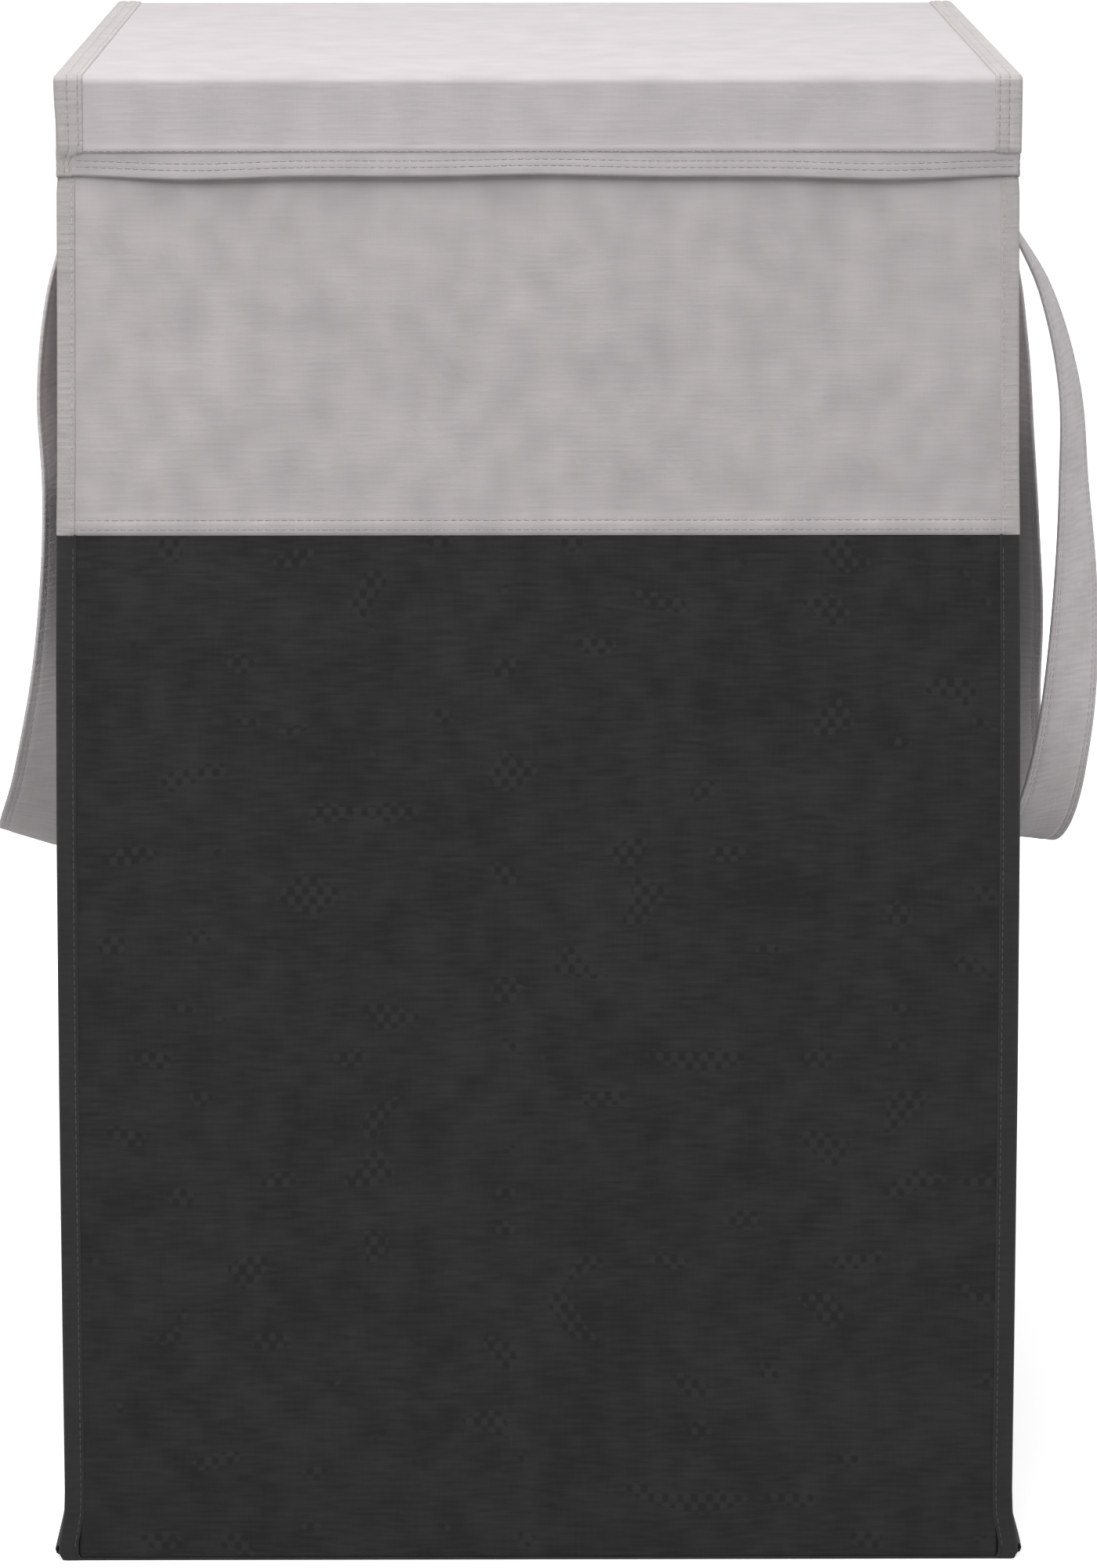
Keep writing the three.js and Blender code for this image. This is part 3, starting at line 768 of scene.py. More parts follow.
# Each tier's tape, its thread and its slot
corner_tapes = {
    "lower": (black_tape, black_thread, "black_tape"),
    "upper": (pale_tape, pale_thread, "pale_tape"),
}
for level, (tape_material, tape_thread, tape_slot) in corner_tapes.items():
    corner_seams = []
    for end in ("front", "back"):
        for side in ("left", "right"):
            node = f"{end}_{side}_{level}_corner_binding"
            corner_low, corner_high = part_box(node)
            corner_foot = binding_foot if level == "lower" else corner_low.z + band_raise
            corner_top = corner_high.z + (band_raise if level == "lower" else -binding_rise)
            side_sign, end_sign = corner_signs[side], corner_signs[end]
            mirrored = side_sign * end_sign < 0
            heights = spans(corner_foot, corner_top, tape_cell)
            heights += [height for height in fin_heights if corner_foot < height < fin_flare_top]
            if level == "upper":
                heights += [band_foot + step for step in band_steps if step > cover_edge]
            heights = sorted(set(heights))
            width = binding_widths[level]
            corner_stops = follow(corner_section(fin_reaches[-1], 0, width)[::-1 if mirrored else 1])[0]

            def corner_place(a, b):
                """Each height has its own section. The stops along it keep their shares of the last one."""
                flatness = fade(b, *binding_flat_reach)
                section = corner_section(between(fin_heights, fin_reaches, b), flatness, width)
                stops, at = follow(section[::-1 if mirrored else 1])
                sideways, endways = at(between(corner_stops, stops, a))
                hem = band_lift(b) if level == "upper" else 0
                lift_side = hem * fade(-endways, *band_lift_reaches[0])
                lift_end = hem * fade(-sideways, *band_lift_reaches[1])
                return Vector((side_sign * (half_width + sideways + lift_side),
                               end_sign * (half_depth + endways + lift_end), b))

            def corner_thickness(a, _):
                from_end = min(a, corner_stops[-1] - a)
                full = fade(from_end, 0, tape_edge_reach)
                return tape_edge_thickness + (tape_thickness - tape_edge_thickness) * full

            binding = cloth(node, corner_stops, heights, corner_place, corner_thickness,
                            grain=(side_sign * 0.5 + end_sign, 0))
            dress(binding, tape_material, tape_slot, "shell", node)
            row_foot, row_top = corner_foot + binding_row_ends[0], corner_top - binding_row_ends[1]
            seam_heights = [height for height in heights if row_foot < height < row_top]
            for stop in (corner_stops[groove_index], corner_stops[-1 - groove_index]):
                path = [(stop, height) for height in seam_heights]
                corner_seams.append(stitch_row(corner_place, path, tape_thickness / 2))
    sew(f"{level}_corner_stitches", corner_seams, tape_thread, tape_slot, "shell")


# Bottom seams. The side walls and the base cloth meet in a bound seam that flares outwards along both
# bottom edges. At its ends it shows as a small dark ear.
seam_rise = 0.022
seam_end = 0.0022
seam_row_end = 0.006
seam_row_index = 3
seam_wave_share = 0.05
seam_waves = 22
seam_seed = 3


def seam_section(reach):
    """Down the side wall, out in a hollow curve to the tip, round it and back underneath."""
    shares = ((0.02, 1.04), (0.05, 0.95), (0.1, 0.8), (0.2, 0.6), (0.36, 0.44), (0.56, 0.35), (0.8, 0.295),
              (0.95, 0.26), (1.0, 0.2), (0.95, 0.13), (0.8, 0.095), (0.55, 0.06), (0.3, 0.038), (0.05, 0.03))
    return [(across * reach, up * seam_rise) for across, up in shares]


for side in ("left", "right"):
    seam_low, seam_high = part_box(f"{side}_bottom_seam")
    seam_reach = seam_high.x - seam_low.x - tape_thickness / 2
    side_sign = corner_signs[side]
    seam_stops, seam_at = follow(seam_section(seam_reach)[::-side_sign])

    def seam_place(a, b):
        out, up = seam_at(a)
        ease = 1 + seam_wave_share * noise.noise(Vector((b * seam_waves, seam_seed, side_sign)))
        return Vector((side_sign * (half_width + tape_thickness / 2 + out * ease), -b, up))

    seam_along = spans(seam_low.y + seam_end, seam_high.y - seam_end, tape_cell)
    seam = cloth(f"{side}_bottom_seam", seam_stops, seam_along, seam_place, tape_thickness, grain=(0.3, 1))
    dress(seam, black_tape, "black_tape", "shell", f"{side}_bottom_seam")
    seam_stop = seam_stops[seam_row_index if side_sign < 0 else -1 - seam_row_index]
    row_places = spans(seam_low.y + seam_row_end, seam_high.y - seam_row_end, tape_cell)
    seam_row = stitch_row(seam_place, [(seam_stop, place) for place in row_places], tape_thickness / 2)
    sew(f"{side}_bottom_stitches", [seam_row], black_thread, "black_tape", "shell")


# Top bindings. A tape folded over the top edge of each wall, from the cover down to the lining. It
# is sewn through the wall in one row, a little above its own raw edges.
top_tape_fold = 0.0016
# The tape's raw edge, from its foot up: how high, and how far it is drawn in beside the stitches
top_tape_edge = ((0, 0), (0.0008, 0), (0.0016, 0), (0.0022, 0.0003), (0.0028, 0))
top_tape_end = 0.0006
top_tape_lap = 0.0002
top_row_end = 0.008
top_seams = []

for side, (along_wall, outward, wall_half, reach) in walls.items():
    node = f"{side}_top_binding"
    top_low, top_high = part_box(node)
    top_depth = (top_high - top_low).dot(Vector(map(abs, outward)))
    top_half = wall_half - (top_tape_end if side in ("front", "back") else top_depth - top_tape_lap)
    skin = tape_thickness / 2
    cover_face, lining_face = -skin, -top_depth + skin
    fold_level = top_high.z - skin - top_tape_fold
    top_section = [(cover_face - sunk, top_low.z + up) for up, sunk in top_tape_edge]
    top_section.append((cover_face, fold_level))
    top_section += arc((cover_face - top_tape_fold, fold_level), top_tape_fold, 0, 90)[1:]
    top_section += arc((lining_face + top_tape_fold, fold_level), top_tape_fold, 90, 180)
    top_section += [(lining_face + sunk, top_low.z + up) for up, sunk in reversed(top_tape_edge)]
    top_stops, top_at = follow(top_section)

    def top_place(a, b):
        out, up = top_at(b)
        return along_wall * a + outward * (reach + out) + UP * up

    top_binding = cloth(node, spans(-top_half, top_half, tape_cell), top_stops, top_place, tape_thickness,
                        grain=(0.9, 2))
    dress(top_binding, pale_tape, "pale_tape", "shell", node)
    row_end = top_half - top_row_end
    for stop in (top_stops[groove_index], top_stops[-1 - groove_index]):
        path = [(a, stop) for a in spans(-row_end, row_end, tape_cell)]
        top_seams.append(stitch_row(top_place, path, tape_thickness / 2))

sew("top_stitches", top_seams, pale_thread, "pale_tape", "shell")


# Divider. A dark cloth sleeve drawn over the divider's board and closed at its foot. It stands
# between the two bins and parts them.
sleeve_low, sleeve_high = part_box("divider_sleeve")
sleeve_cloth = 0.0007
sleeve_middle = 0.2
sleeve_shoulder = 0.42
sleeve_half = sleeve_high.x - sleeve_cloth / 2
sleeve_heights = (sleeve_low.z, sleeve_low.z + sleeve_middle, sleeve_shoulder)
sleeve_section = [(-sleeve_half, height) for height in sleeve_heights]
sleeve_section += arc((0, sleeve_high.z - sleeve_half - sleeve_cloth / 2), sleeve_half, 180, 0, steps=8)
sleeve_section += [(sleeve_half, height) for height in reversed(sleeve_heights)]
sleeve_stops, sleeve_at = follow(sleeve_section)


def sleeve_place(a, b):
    sideways, up = sleeve_at(b)
    return Vector((sideways, -a, up))


sleeve = cloth("divider_sleeve", spans(sleeve_low.y, sleeve_high.y, lining_cell), sleeve_stops,
               sleeve_place, sleeve_cloth, grain=(2.2, 7))
dress(sleeve, lining_linen, "lining", "shell", "divider_sleeve")


# Bags. Each bin holds a lift-out bag of pale cotton, seamed along the middle of its bottom, that
# stands in soft folds and is held open by a stiff tape round its mouth.
bag_colour = (0.55, 0.53, 0.495, 1)
bag_wall = 0.0008
bag_corner = 0.016
bag_bottom_round = 0.022
bag_bottom_flat = 0.008
bag_bottom_shares = (0.75, 0.5)
bag_seam_gap = 0.0005
bag_cell = 0.009
bag_grain_step = 1.9
# The folds of the cloth: their depth, and how many come in a metre along the wall and up it, for the
# folds and for the smaller creases on them. They grow deeper between the two slack heights.
bag_fold_depth = 0.0062
bag_fold_waves = (15, 3.2)
bag_crease_waves = (34, 9)
bag_crease_slant = 6
bag_crease_share = 0.5
bag_fold_bias = 0.45
bag_fold_seeds = (30, 31)
bag_seed_step = 5
bag_taut_reach = 0.09
bag_slack_heights = (0.5, 0.1)
bag_slack_share = 0.35
bag_bottom_rise = 0.004
# The tape round the mouth, a little bowed
mouth_thickness = 0.0017
mouth_round = 0.004
mouth_edge = 0.0006
mouth_drop = 0.0006
mouth_bow = 0.0006
mouth_waves = 12
mouth_seed = 5
mouth_row_ends = (0.0022, 0.0028)
# The pull tabs hang in a loop: how far in and how high on the way down, and on the way up again
tab_ply = 0.0006
tab_hem = 0.0015
tab_drop = ((0.0, 0.6), (0.0003, 0.585), (0.0012, 0.57), (0.0028, 0.56), (0.0038, 0.553), (0.0042, 0.549))
tab_turn = ((0.0052, 0.0004), (0.0066, 0.0006))
tab_rise = ((0.0074, 0.5495), (0.0072, 0.554), (0.0058, 0.565), (0.004, 0.58), (0.0022, 0.595),
            (0.0012, 0.608))
tab_end = 0.0009
tab_rows = (0.002, 0.0075)
tab_row_end = 0.002
bag_cotton = linen("bag_cotton", bag_colour, clouds=0.06, streaks=0.06, ribs=0.0, checks=0.0, grit=0.12)


def evenly(start, end, count):
    """Places from start to end in equal steps, without the start itself."""
    return [start + (end - start) * step / count for step in range(1, count + 1)]


def round_mouth(low, high, corner):
    """The outline of a bag seen from above, from the middle of its back, the way the walls run."""
    half_x, half_y = (high.x - low.x) / 2, (high.y - low.y) / 2
    outline = [(0, half_y)]
    for sign_x, sign_y, start in ((-1, 1, 90), (-1, -1, 180), (1, -1, 270), (1, 1, 0)):
        centre = (sign_x * (half_x - corner), sign_y * (half_y - corner))
        outline += arc(centre, corner, start, start + 90, steps=4)
    outline.append((0, half_y))
    finer = [outline[0]]
    for near, far in zip(outline, outline[1:]):
        pieces = max(1, round(math.dist(near, far) / bag_cell))
        finer += zip(evenly(near[0], far[0], pieces), evenly(near[1], far[1], pieces))
    return finer


for bag_index, side in enumerate(("left", "right")):
    bag_low, bag_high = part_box(f"{side}_bag")
    tape_low, tape_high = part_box(f"{side}_bag_mouth_tape")
    bag_middle = (bag_low + bag_high) / 2
    bag_half_x = (bag_high.x - bag_low.x) / 2
    mouth_stops, mouth_at = follow(round_mouth(bag_low, bag_high, bag_corner))
    # Along the bottom from its seam, round its edge and up the wall: how far in, and how high
    wall_foot = bag_low.z + bag_bottom_round
    bottom_insets = [bag_half_x - bag_seam_gap]
    bottom_insets += [bag_half_x * share for share in bag_bottom_shares]
    bottom_insets.append(bag_bottom_round + bag_bottom_flat)
    profile = [(inset, bag_low.z + bag_wall) for inset in bottom_insets]
    bottom_round = arc((0, wall_foot + bag_wall), bag_bottom_round, -90, 0)
    profile += [(bag_bottom_round - x, z) for x, z in bottom_round]
    wall_rows = round((bag_high.z - wall_foot) / bag_cell)
    profile += [(0, height) for height in evenly(wall_foot, bag_high.z, wall_rows)]
    profile_stops, profile_at = follow(profile)

    def bag_place(a, b):
        x, y = mouth_at(a)
        inset, height = profile_at(b)
        fold_seed, crease_seed = (seed + bag_index * bag_seed_step for seed in bag_fold_seeds)
        folds = noise.noise(Vector((a * bag_fold_waves[0], b * bag_fold_waves[1], fold_seed)))
        crease_along = a * bag_crease_waves[0] + b * bag_crease_slant
        crease = noise.noise(Vector((crease_along, b * bag_crease_waves[1], crease_seed)))
        folds += bag_crease_share * crease
        slack = bag_slack_share + (1 - bag_slack_share) * fade(height, *bag_slack_heights)
        slack *= fade(bag_high.z - height, 0, bag_taut_reach)
        inset += bag_fold_depth * slack * max(folds + bag_fold_bias, 0) + bag_wall / 2
        rise = bag_bottom_rise * max(folds, 0) * fade(inset, bag_bottom_round, bag_half_x)
        shrink_x = 1 - inset / bag_half_x
        shrink_y = 1 - inset / (bag_high.y - bag_middle.y)
        return Vector((bag_middle.x + x * shrink_x, bag_middle.y + y * shrink_y, height + rise))

    bag = cloth(f"{side}_bag", mouth_stops, profile_stops, bag_place, bag_wall,
                grain=(bag_index * bag_grain_step, 0))
    dress(bag, bag_cotton, "bag_cloth", "shell", f"{side}_bag")

    def mouth_place(a, b):
        x, y = mouth_at(a)
        bow = mouth_bow * noise.noise(Vector((a * mouth_waves, mouth_seed, bag_index)))
        shrink = 1 - bag_wall / 2 / bag_half_x
        return Vector((bag_middle.x + x * shrink, bag_middle.y + y * shrink, b + bow))

    tape_rows = spans(tape_low.z - mouth_drop, tape_high.z - mouth_drop, mouth_round, mouth_edge)
    mouth_tape = cloth(f"{side}_bag_mouth_tape", mouth_stops, tape_rows, mouth_place, mouth_thickness,
                       grain=(bag_index * bag_grain_step, 4))
    dress(mouth_tape, pale_tape, "pale_tape", "shell", f"{side}_bag_mouth_tape")
    bag_seams = []
    for height in (tape_low.z + mouth_row_ends[0], tape_high.z - mouth_row_ends[1]):
        path = [(stop, height) for stop in mouth_stops[2:-2]]
        bag_seams.append(stitch_row(mouth_place, path, mouth_thickness / 2, -1))

    # The pull tabs: tape folded double, its fold hanging a little open
    for end in ("front", "back"):
        node = f"{side}_bag_{end}_pull_tab"
        tab_low, tab_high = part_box(node)
        end_sign = corner_signs[end]
        tab_middle = (tab_low + tab_high) / 2
        tab_section = [(0.0, tab_high.z), (0.0, tab_high.z - tab_hem), *tab_drop]
        tab_section += [(inward, tab_low.z + up) for inward, up in tab_turn]
        tab_section += [*tab_rise, (tab_end, tab_high.z)]
        tab_stops, tab_at = follow(tab_section)

        def tab_place(a, b):
            inward, up = tab_at(b)
            outer_face = max(abs(tab_low.y), abs(tab_high.y)) - tab_ply / 2
            return Vector((tab_middle.x + end_sign * a, end_sign * (outer_face - inward), up))

        tab_half = (tab_high.x - tab_low.x) / 2
        pull_tab = cloth(node, spans(-tab_half, tab_half, tape_cell), tab_stops, tab_place, tab_ply,
                         grain=(1.1, 5))
        dress(pull_tab, pale_tape, "pale_tape", "shell", node)
        row_end = tab_half - tab_row_end
        for row in tab_rows:
            path = [(a, tab_stops[-1] - row) for a in spans(-row_end, row_end, tape_cell)]
            bag_seams.append(stitch_row(tab_place, path, tab_ply / 2))

    sew(f"{side}_bag_stitches", bag_seams, pale_thread, "bag_cloth", "shell")


# Lid. A board between a dark lining and a pale cover. The cover's front runs over a soft fold and
# hangs down as a rim, its lower edge turned over the top of a separate hem strip.
lid_colour = (0.49, 0.457, 0.466, 1)
lid_fold = 0.0028
lid_front = -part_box("lid_front_rim")[0].y
lid_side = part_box("lid_right_rim")[1].x
lid_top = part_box("lid_top_cover")[1].z
lid_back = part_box("lid_top_cover")[1].y
rim_raise = 0.0013
rim_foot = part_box("lid_front_rim")[0].z + rim_raise
lid_proud = 0.0005
flange_cloth = 0.001
hem_cloth = 0.0009
# The cover's front ends at the hem line. Its edge is turned under and shows as a low bead, which
# runs out at the lid's corners
hem_line = 0.6154
hem_fold_row = 0.0005
bead_rows = (0, 0.0004, 0.0009, 0.0014, 0.0019, 0.0024, 0.003, 0.0038)
bead_rise = 0.0004
bead_middle = 0.0014
bead_reach = 0.0013
bead_end_reach = (0.1895, 0.186)
# The rims hang free below the lid's top edge, stand off the wall and bow, less so at the corners
rim_hang_start = lid_top - 0.006
rim_stand_off = 0.0003
rim_bow = 0.0007
rim_waves = 2.3
rim_seeds = (3.3, 2.1)
rim_calm_reach = (0.188, 0.16)
# The cover and the lining are a little slack between their edges
lid_swell = 0.0005
lid_swell_bias = 0.3
lid_swell_waves = 8
lid_swell_seed = 50
lid_swell_reach = (0.004, 0.06)
lid_lining_waves = 7
lid_lining_seed = 40
lid_lining_reach = (0.03, 0.08)
cover_end = 0.0008
flange_row_end = 0.006
lid_linen = linen("lid_linen", lid_colour, clouds=0.13, streaks=0.05, ribs=0.01, checks=0.0, grit=0.07,
                  depth=pale_relief)


def smooth_share(shares, where):
    """A smooth curve through evenly spaced shares, level with its neighbours' slope at each one."""
    last = len(shares) - 1
    place = min(max(where, 0), 1) * last
    start = min(int(place), last - 1)
    rest = place - start
    before, near, far, after = (shares[min(max(start + step, 0), last)] for step in (-1, 0, 1, 2))
    squared = rest * rest
    cubed = squared * rest
    near_weight = 2 * cubed - 3 * squared + 1
    near_slope = (cubed - 2 * squared + rest) * (far - before) / 2
    far_slope = (cubed - squared) * (after - near) / 2
    return near_weight * near + (1 - near_weight) * far + near_slope + far_slope


lid_lining_low, lid_lining_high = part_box("lid_lining")
lid_lining_middle = (lid_lining_low.z + lid_lining_high.z) / 2


def lid_lining_place(a, b):
    from_edge = min(lid_lining_high.x - abs(a), b - lid_lining_low.y, lid_lining_high.y - b)
    wave = noise.noise(Vector((a * lid_lining_waves, b * lid_lining_waves, lid_lining_seed)))
    slack = lining_slack * max(wave + lid_swell_bias, 0) * fade(from_edge, *lid_lining_reach)
    return Vector((-a, b, lid_lining_middle - slack))


lid_lining = cloth("lid_lining", spans(lid_lining_low.x, lid_lining_high.x, lining_cell),
                   spans(lid_lining_low.y, lid_lining_high.y, lining_cell), lid_lining_place,
                   lid_lining_high.z - lid_lining_low.z, grain=(0.4, 8))
dress(lid_lining, lining_linen, "lining", "lid", "lid_lining")

cover_outer = lid_top - flange_cloth / 2
flange_outer = lid_front + lid_proud - flange_cloth / 2
top_section = [(-flange_outer, hem_line + row) for row in bead_rows]
flange_top = cover_outer - lid_fold
flange_start = hem_line + bead_rows[-1]
flange_rows = 7
top_section += [(-flange_outer, height) for height in evenly(flange_start, flange_top, flange_rows)[:-1]]
fold_middle = lid_fold - flange_outer
top_section += arc((fold_middle, cover_outer - lid_fold), lid_fold, 180, 90, steps=8)
top_rows = round((lid_back + lid_front) / cover_cell)
top_section += [(forward, cover_outer) for forward in evenly(fold_middle, lid_back - cover_end, top_rows)]
top_stops, top_at = follow(top_section)


def rim_sway(a, reach, seed):
    """How the hanging rims bow in and out along their length."""
    return rim_bow * noise.noise(Vector((a / reach * rim_waves, seed, rim_seeds[1])))


def lid_cover_place(a, b):
    forward, up = top_at(b)
    hanging = fade(up, rim_hang_start, hem_line)
    outward = (rim_sway(a, lid_side, rim_seeds[0]) * fade(abs(a), *rim_calm_reach) + rim_stand_off) * hanging
    bead = bead_rise * hump(up, hem_line + bead_middle, bead_reach) * fade(abs(a), *bead_end_reach)
    from_edge = min(lid_side - abs(a), forward + lid_front, lid_back - forward)
    wave = noise.noise(Vector((a * lid_swell_waves, forward * lid_swell_waves, lid_swell_seed)))
    swell = lid_swell * (wave + lid_swell_bias) * fade(from_edge, *lid_swell_reach)
    return Vector((a, forward - outward - bead, up + swell))


cover_side = lid_side - lid_fold - cover_end
lid_cover = cloth("lid_top_cover", spans(-cover_side, cover_side, cover_cell), top_stops, lid_cover_place,
                  flange_cloth, grain=(4.4, 2))
dress(lid_cover, lid_linen, "lid_fabric", "lid", "lid_top_cover")
row_end = cover_side - flange_row_end
path = [(a, hem_fold_row) for a in spans(-row_end, row_end, cover_cell)]
lid_seams = [stitch_row(lid_cover_place, path, flange_cloth / 2)]


# Hem strips. A strip folded double is sewn under the lower edge of each hanging rim in two rows. Its
# edge is not quite straight and stands a little off the wall, so it throws a thin shadow.
# Painted shade: the hem strip's cloth is the lid's cloth made darker, for the shade it lies in under the
# cover's turned edge
hem_shaded_colour = (0.43, 0.402, 0.41, 1)
hem_linen = linen("hem_linen", hem_shaded_colour, clouds=0.15, streaks=0.05, ribs=0.01, checks=0.0, grit=0.07,
                  depth=pale_relief)
hem_reach = lid_front - (flange_cloth - lid_proud) - hem_cloth / 2
hem_rows = (0, 0.0005, 0.0012, 0.002, 0.0028, 0.0034, 0.004, 0.0048, 0.0055, 0.006, 0.0065, 0.0072,
            0.0085, 0.0098, 0.0115, 0.013, 0.016, 0.019)
hem_stitches = (0.0034, 0.006)
hem_row_end = 0.003
hem_pinch = 0.00035
# The part of the strip that is folded double, and how much thicker it is there
hem_double = 0.0005
hem_double_reach = (0.0135, 0.011)
# The wave of the lower edge: how deep it hangs, as shares of the deepest, evenly spaced
hem_wave = 0.0022
hem_wave_shares = (0.73, 0.05, 0.64, 0.64, 1.0, 0.6, 0.55, 0.05, 0.68)
# How far the lower edge stands off the wall, and how high and how near the middle that shows
hem_push_depth = 0.0024
hem_push_height = 0.014
hem_push_share = 0.72


def hem_thickness(a, b):
    pinch = sum(hump(b, row, pinch_reach) for row in hem_stitches)
    return hem_cloth + hem_double * fade(b, *hem_double_reach) - hem_pinch * pinch


def hem_drop(shares, a, half):
    return rim_foot + hem_wave * smooth_share(shares, (a + half) / (2 * half))


def hem_push(a, b, half):
    middle = fade(abs(a), half, half * hem_push_share)
    push = hem_push_depth * middle * fade(b, hem_push_height, 0)
    return push + rim_sway(a, half, rim_seeds[0]) + rim_stand_off


front_hem_lap = 0.0035
front_hem_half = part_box("lid_front_rim")[1].x + front_hem_lap
front_hem_ends = (-0.1945, 0.2001)
front_hem_cell = 0.005


def front_hem_place(a, b):
    height = hem_drop(hem_wave_shares, a, front_hem_half) + b
    return Vector((a, -(hem_reach + hem_push(a, b, front_hem_half)), height))


front_hem = cloth("lid_front_rim", spans(*front_hem_ends, front_hem_cell), hem_rows, front_hem_place,
                  hem_thickness, grain=(4.4, 1))
dress(front_hem, hem_linen, "lid_fabric", "lid", "lid_front_rim")
hem_row_stops = spans(front_hem_ends[0] + hem_row_end, front_hem_ends[1] - hem_row_end, front_hem_cell)
for row in hem_stitches:
    path = [(a, row) for a in hem_row_stops]
    lid_seams.append(stitch_row(front_hem_place, path, hem_thickness(0, row) / 2))


# Side rims. Strips that hang from the lid's side edges, each with its own hem strip sewn under it.
# They are sewn to the lid's edges before the edges are bound.
side_cloth = 0.0006
side_outer = 0.2007
side_rows = (0, 0.0006, 0.0014, 0.003, 0.012, 0.02)
side_hem_face = 0.2009
side_hem_tuck = 0.0005
side_hem_cell = 0.006
side_hem_push_share = 0.5
side_wave_shares = (0.3, 0.1, 0.45, 0.8, 0.6, 0.3, 0.7, 0.4, 0.3)
# The rims are held at the lid's front corner and hang free from this far behind it
side_held = 0.03
for side in ("left", "right"):
    node = f"lid_{side}_rim"
    side_low, side_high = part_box(node)
    side_sign = corner_signs[side]
    rim_section = [(side_outer, hem_line + row) for row in side_rows]
    rim_section += arc((side_outer - lid_fold, cover_outer - lid_fold), lid_fold, 0, 90)
    rim_stops, rim_at = follow(rim_section)
    rim_half = (side_high.y - side_low.y) / 2
    rim_middle = (side_high.y + side_low.y) / 2

    def side_rim_place(a, b):
        sideways, up = rim_at(b)
        along = side_sign * a
        away = fade(along, -rim_half, -rim_half + side_held)
        hanging = fade(up, rim_hang_start, hem_line)
        bow = rim_sway(along, rim_half, rim_seeds[0] + side_sign) + rim_stand_off
        return Vector((side_sign * (sideways + bow * hanging * away), rim_middle + along, up))

    def side_hem_place(a, b):
        height = hem_drop(side_wave_shares, a, rim_half) + b
        along = side_sign * a
        away = fade(along, -rim_half, -rim_half + side_held)
        bow = side_hem_push_share * hem_push(a, b, rim_half) + rim_stand_off
        sideways = side_hem_face - side_hem_tuck + (bow + side_hem_tuck) * away
        return Vector((side_sign * sideways, rim_middle + along, height))

    upper_rim = cloth(f"{node}_upper", spans(-rim_half, rim_half, cover_cell), rim_stops, side_rim_place,
                      side_cloth, grain=(3.1, 1 + side_sign))
    side_hem = cloth(node, spans(-rim_half, rim_half, side_hem_cell), hem_rows, side_hem_place,
                     hem_thickness, grain=(3.1, side_sign))
    dress(side_hem, hem_linen, "lid_fabric", "lid", node)
    dress(upper_rim, lid_linen, "lid_fabric", "lid")
    row_end = rim_half - hem_row_end
    rim_path = [(a, hem_fold_row) for a in spans(-row_end, row_end, cover_cell)]
    lid_seams.append(stitch_row(side_rim_place, rim_path, side_cloth / 2))
    for row in hem_stitches:
        path = [(a, row) for a in spans(-row_end, row_end, side_hem_cell)]
        lid_seams.append(stitch_row(side_hem_place, path, hem_thickness(0, row) / 2))


# Edge bindings. A tape sewn over each side edge of the lid. It runs along the top, bends down over
# the front and covers the end of the front rim. The left one runs on down beside the hem, narrower.
edge_bend = 0.0031
edge_wrap = 0.0019
edge_inner = {"left": 0.1898, "right": 0.1904}
edge_outer = 0.2013
edge_face = lid_proud + tape_thickness / 2
# The tape's section: how far from its inner edge, then from its outer edge, and how high it stands
edge_groove = 0.0052
edge_inner_rows = ((0, -0.00025), (0.0005, 0), (0.0012, 0.00005), (0.0018, -0.0002), (0.0024, 0.0001),
                   (0.0036, 0.0002))
edge_outer_rows = ((edge_groove + 0.0008, 0.0001), (edge_groove, -0.0003), (edge_groove - 0.0008, 0.0001),
                   (0.0032, 0.0002), (0.0024, 0.0001))
edge_wrap_lip = 0.0006
# Which stops of the section lie in its two grooves, where the stitches run
edge_groove_indices = (3, 7)
# The tape's leg, which hangs down over the front: where it ends, how much narrower it grows on the
# way, and how it leans in and is pressed flat below the neck, where it passes the hem line
leg_feet = {"left": 0.6053, "right": 0.6146}
leg_tapers = {"left": 0.0012, "right": 0.0001}
leg_front = lid_front + edge_face
leg_top = lid_top + edge_face - lid_proud - edge_bend
leg_rows = 15
leg_foot_row = 0.0008
leg_taper_reach = (lid_top - 0.002, leg_feet["right"])
leg_narrowing = 0.0048
leg_lean = 0.0014
leg_neck = hem_line + 0.0004
leg_neck_foot = hem_line - 0.0018
leg_press_shares = {"left": 0.9, "right": 0}
# The tape's run along the top, where its inner edge is pressed thin
edge_rows = 48
edge_end = lid_back - 0.0004
edge_start = -leg_front + edge_bend
edge_press_share = 0.55
edge_press_reach = (0.0014, 0.0002)

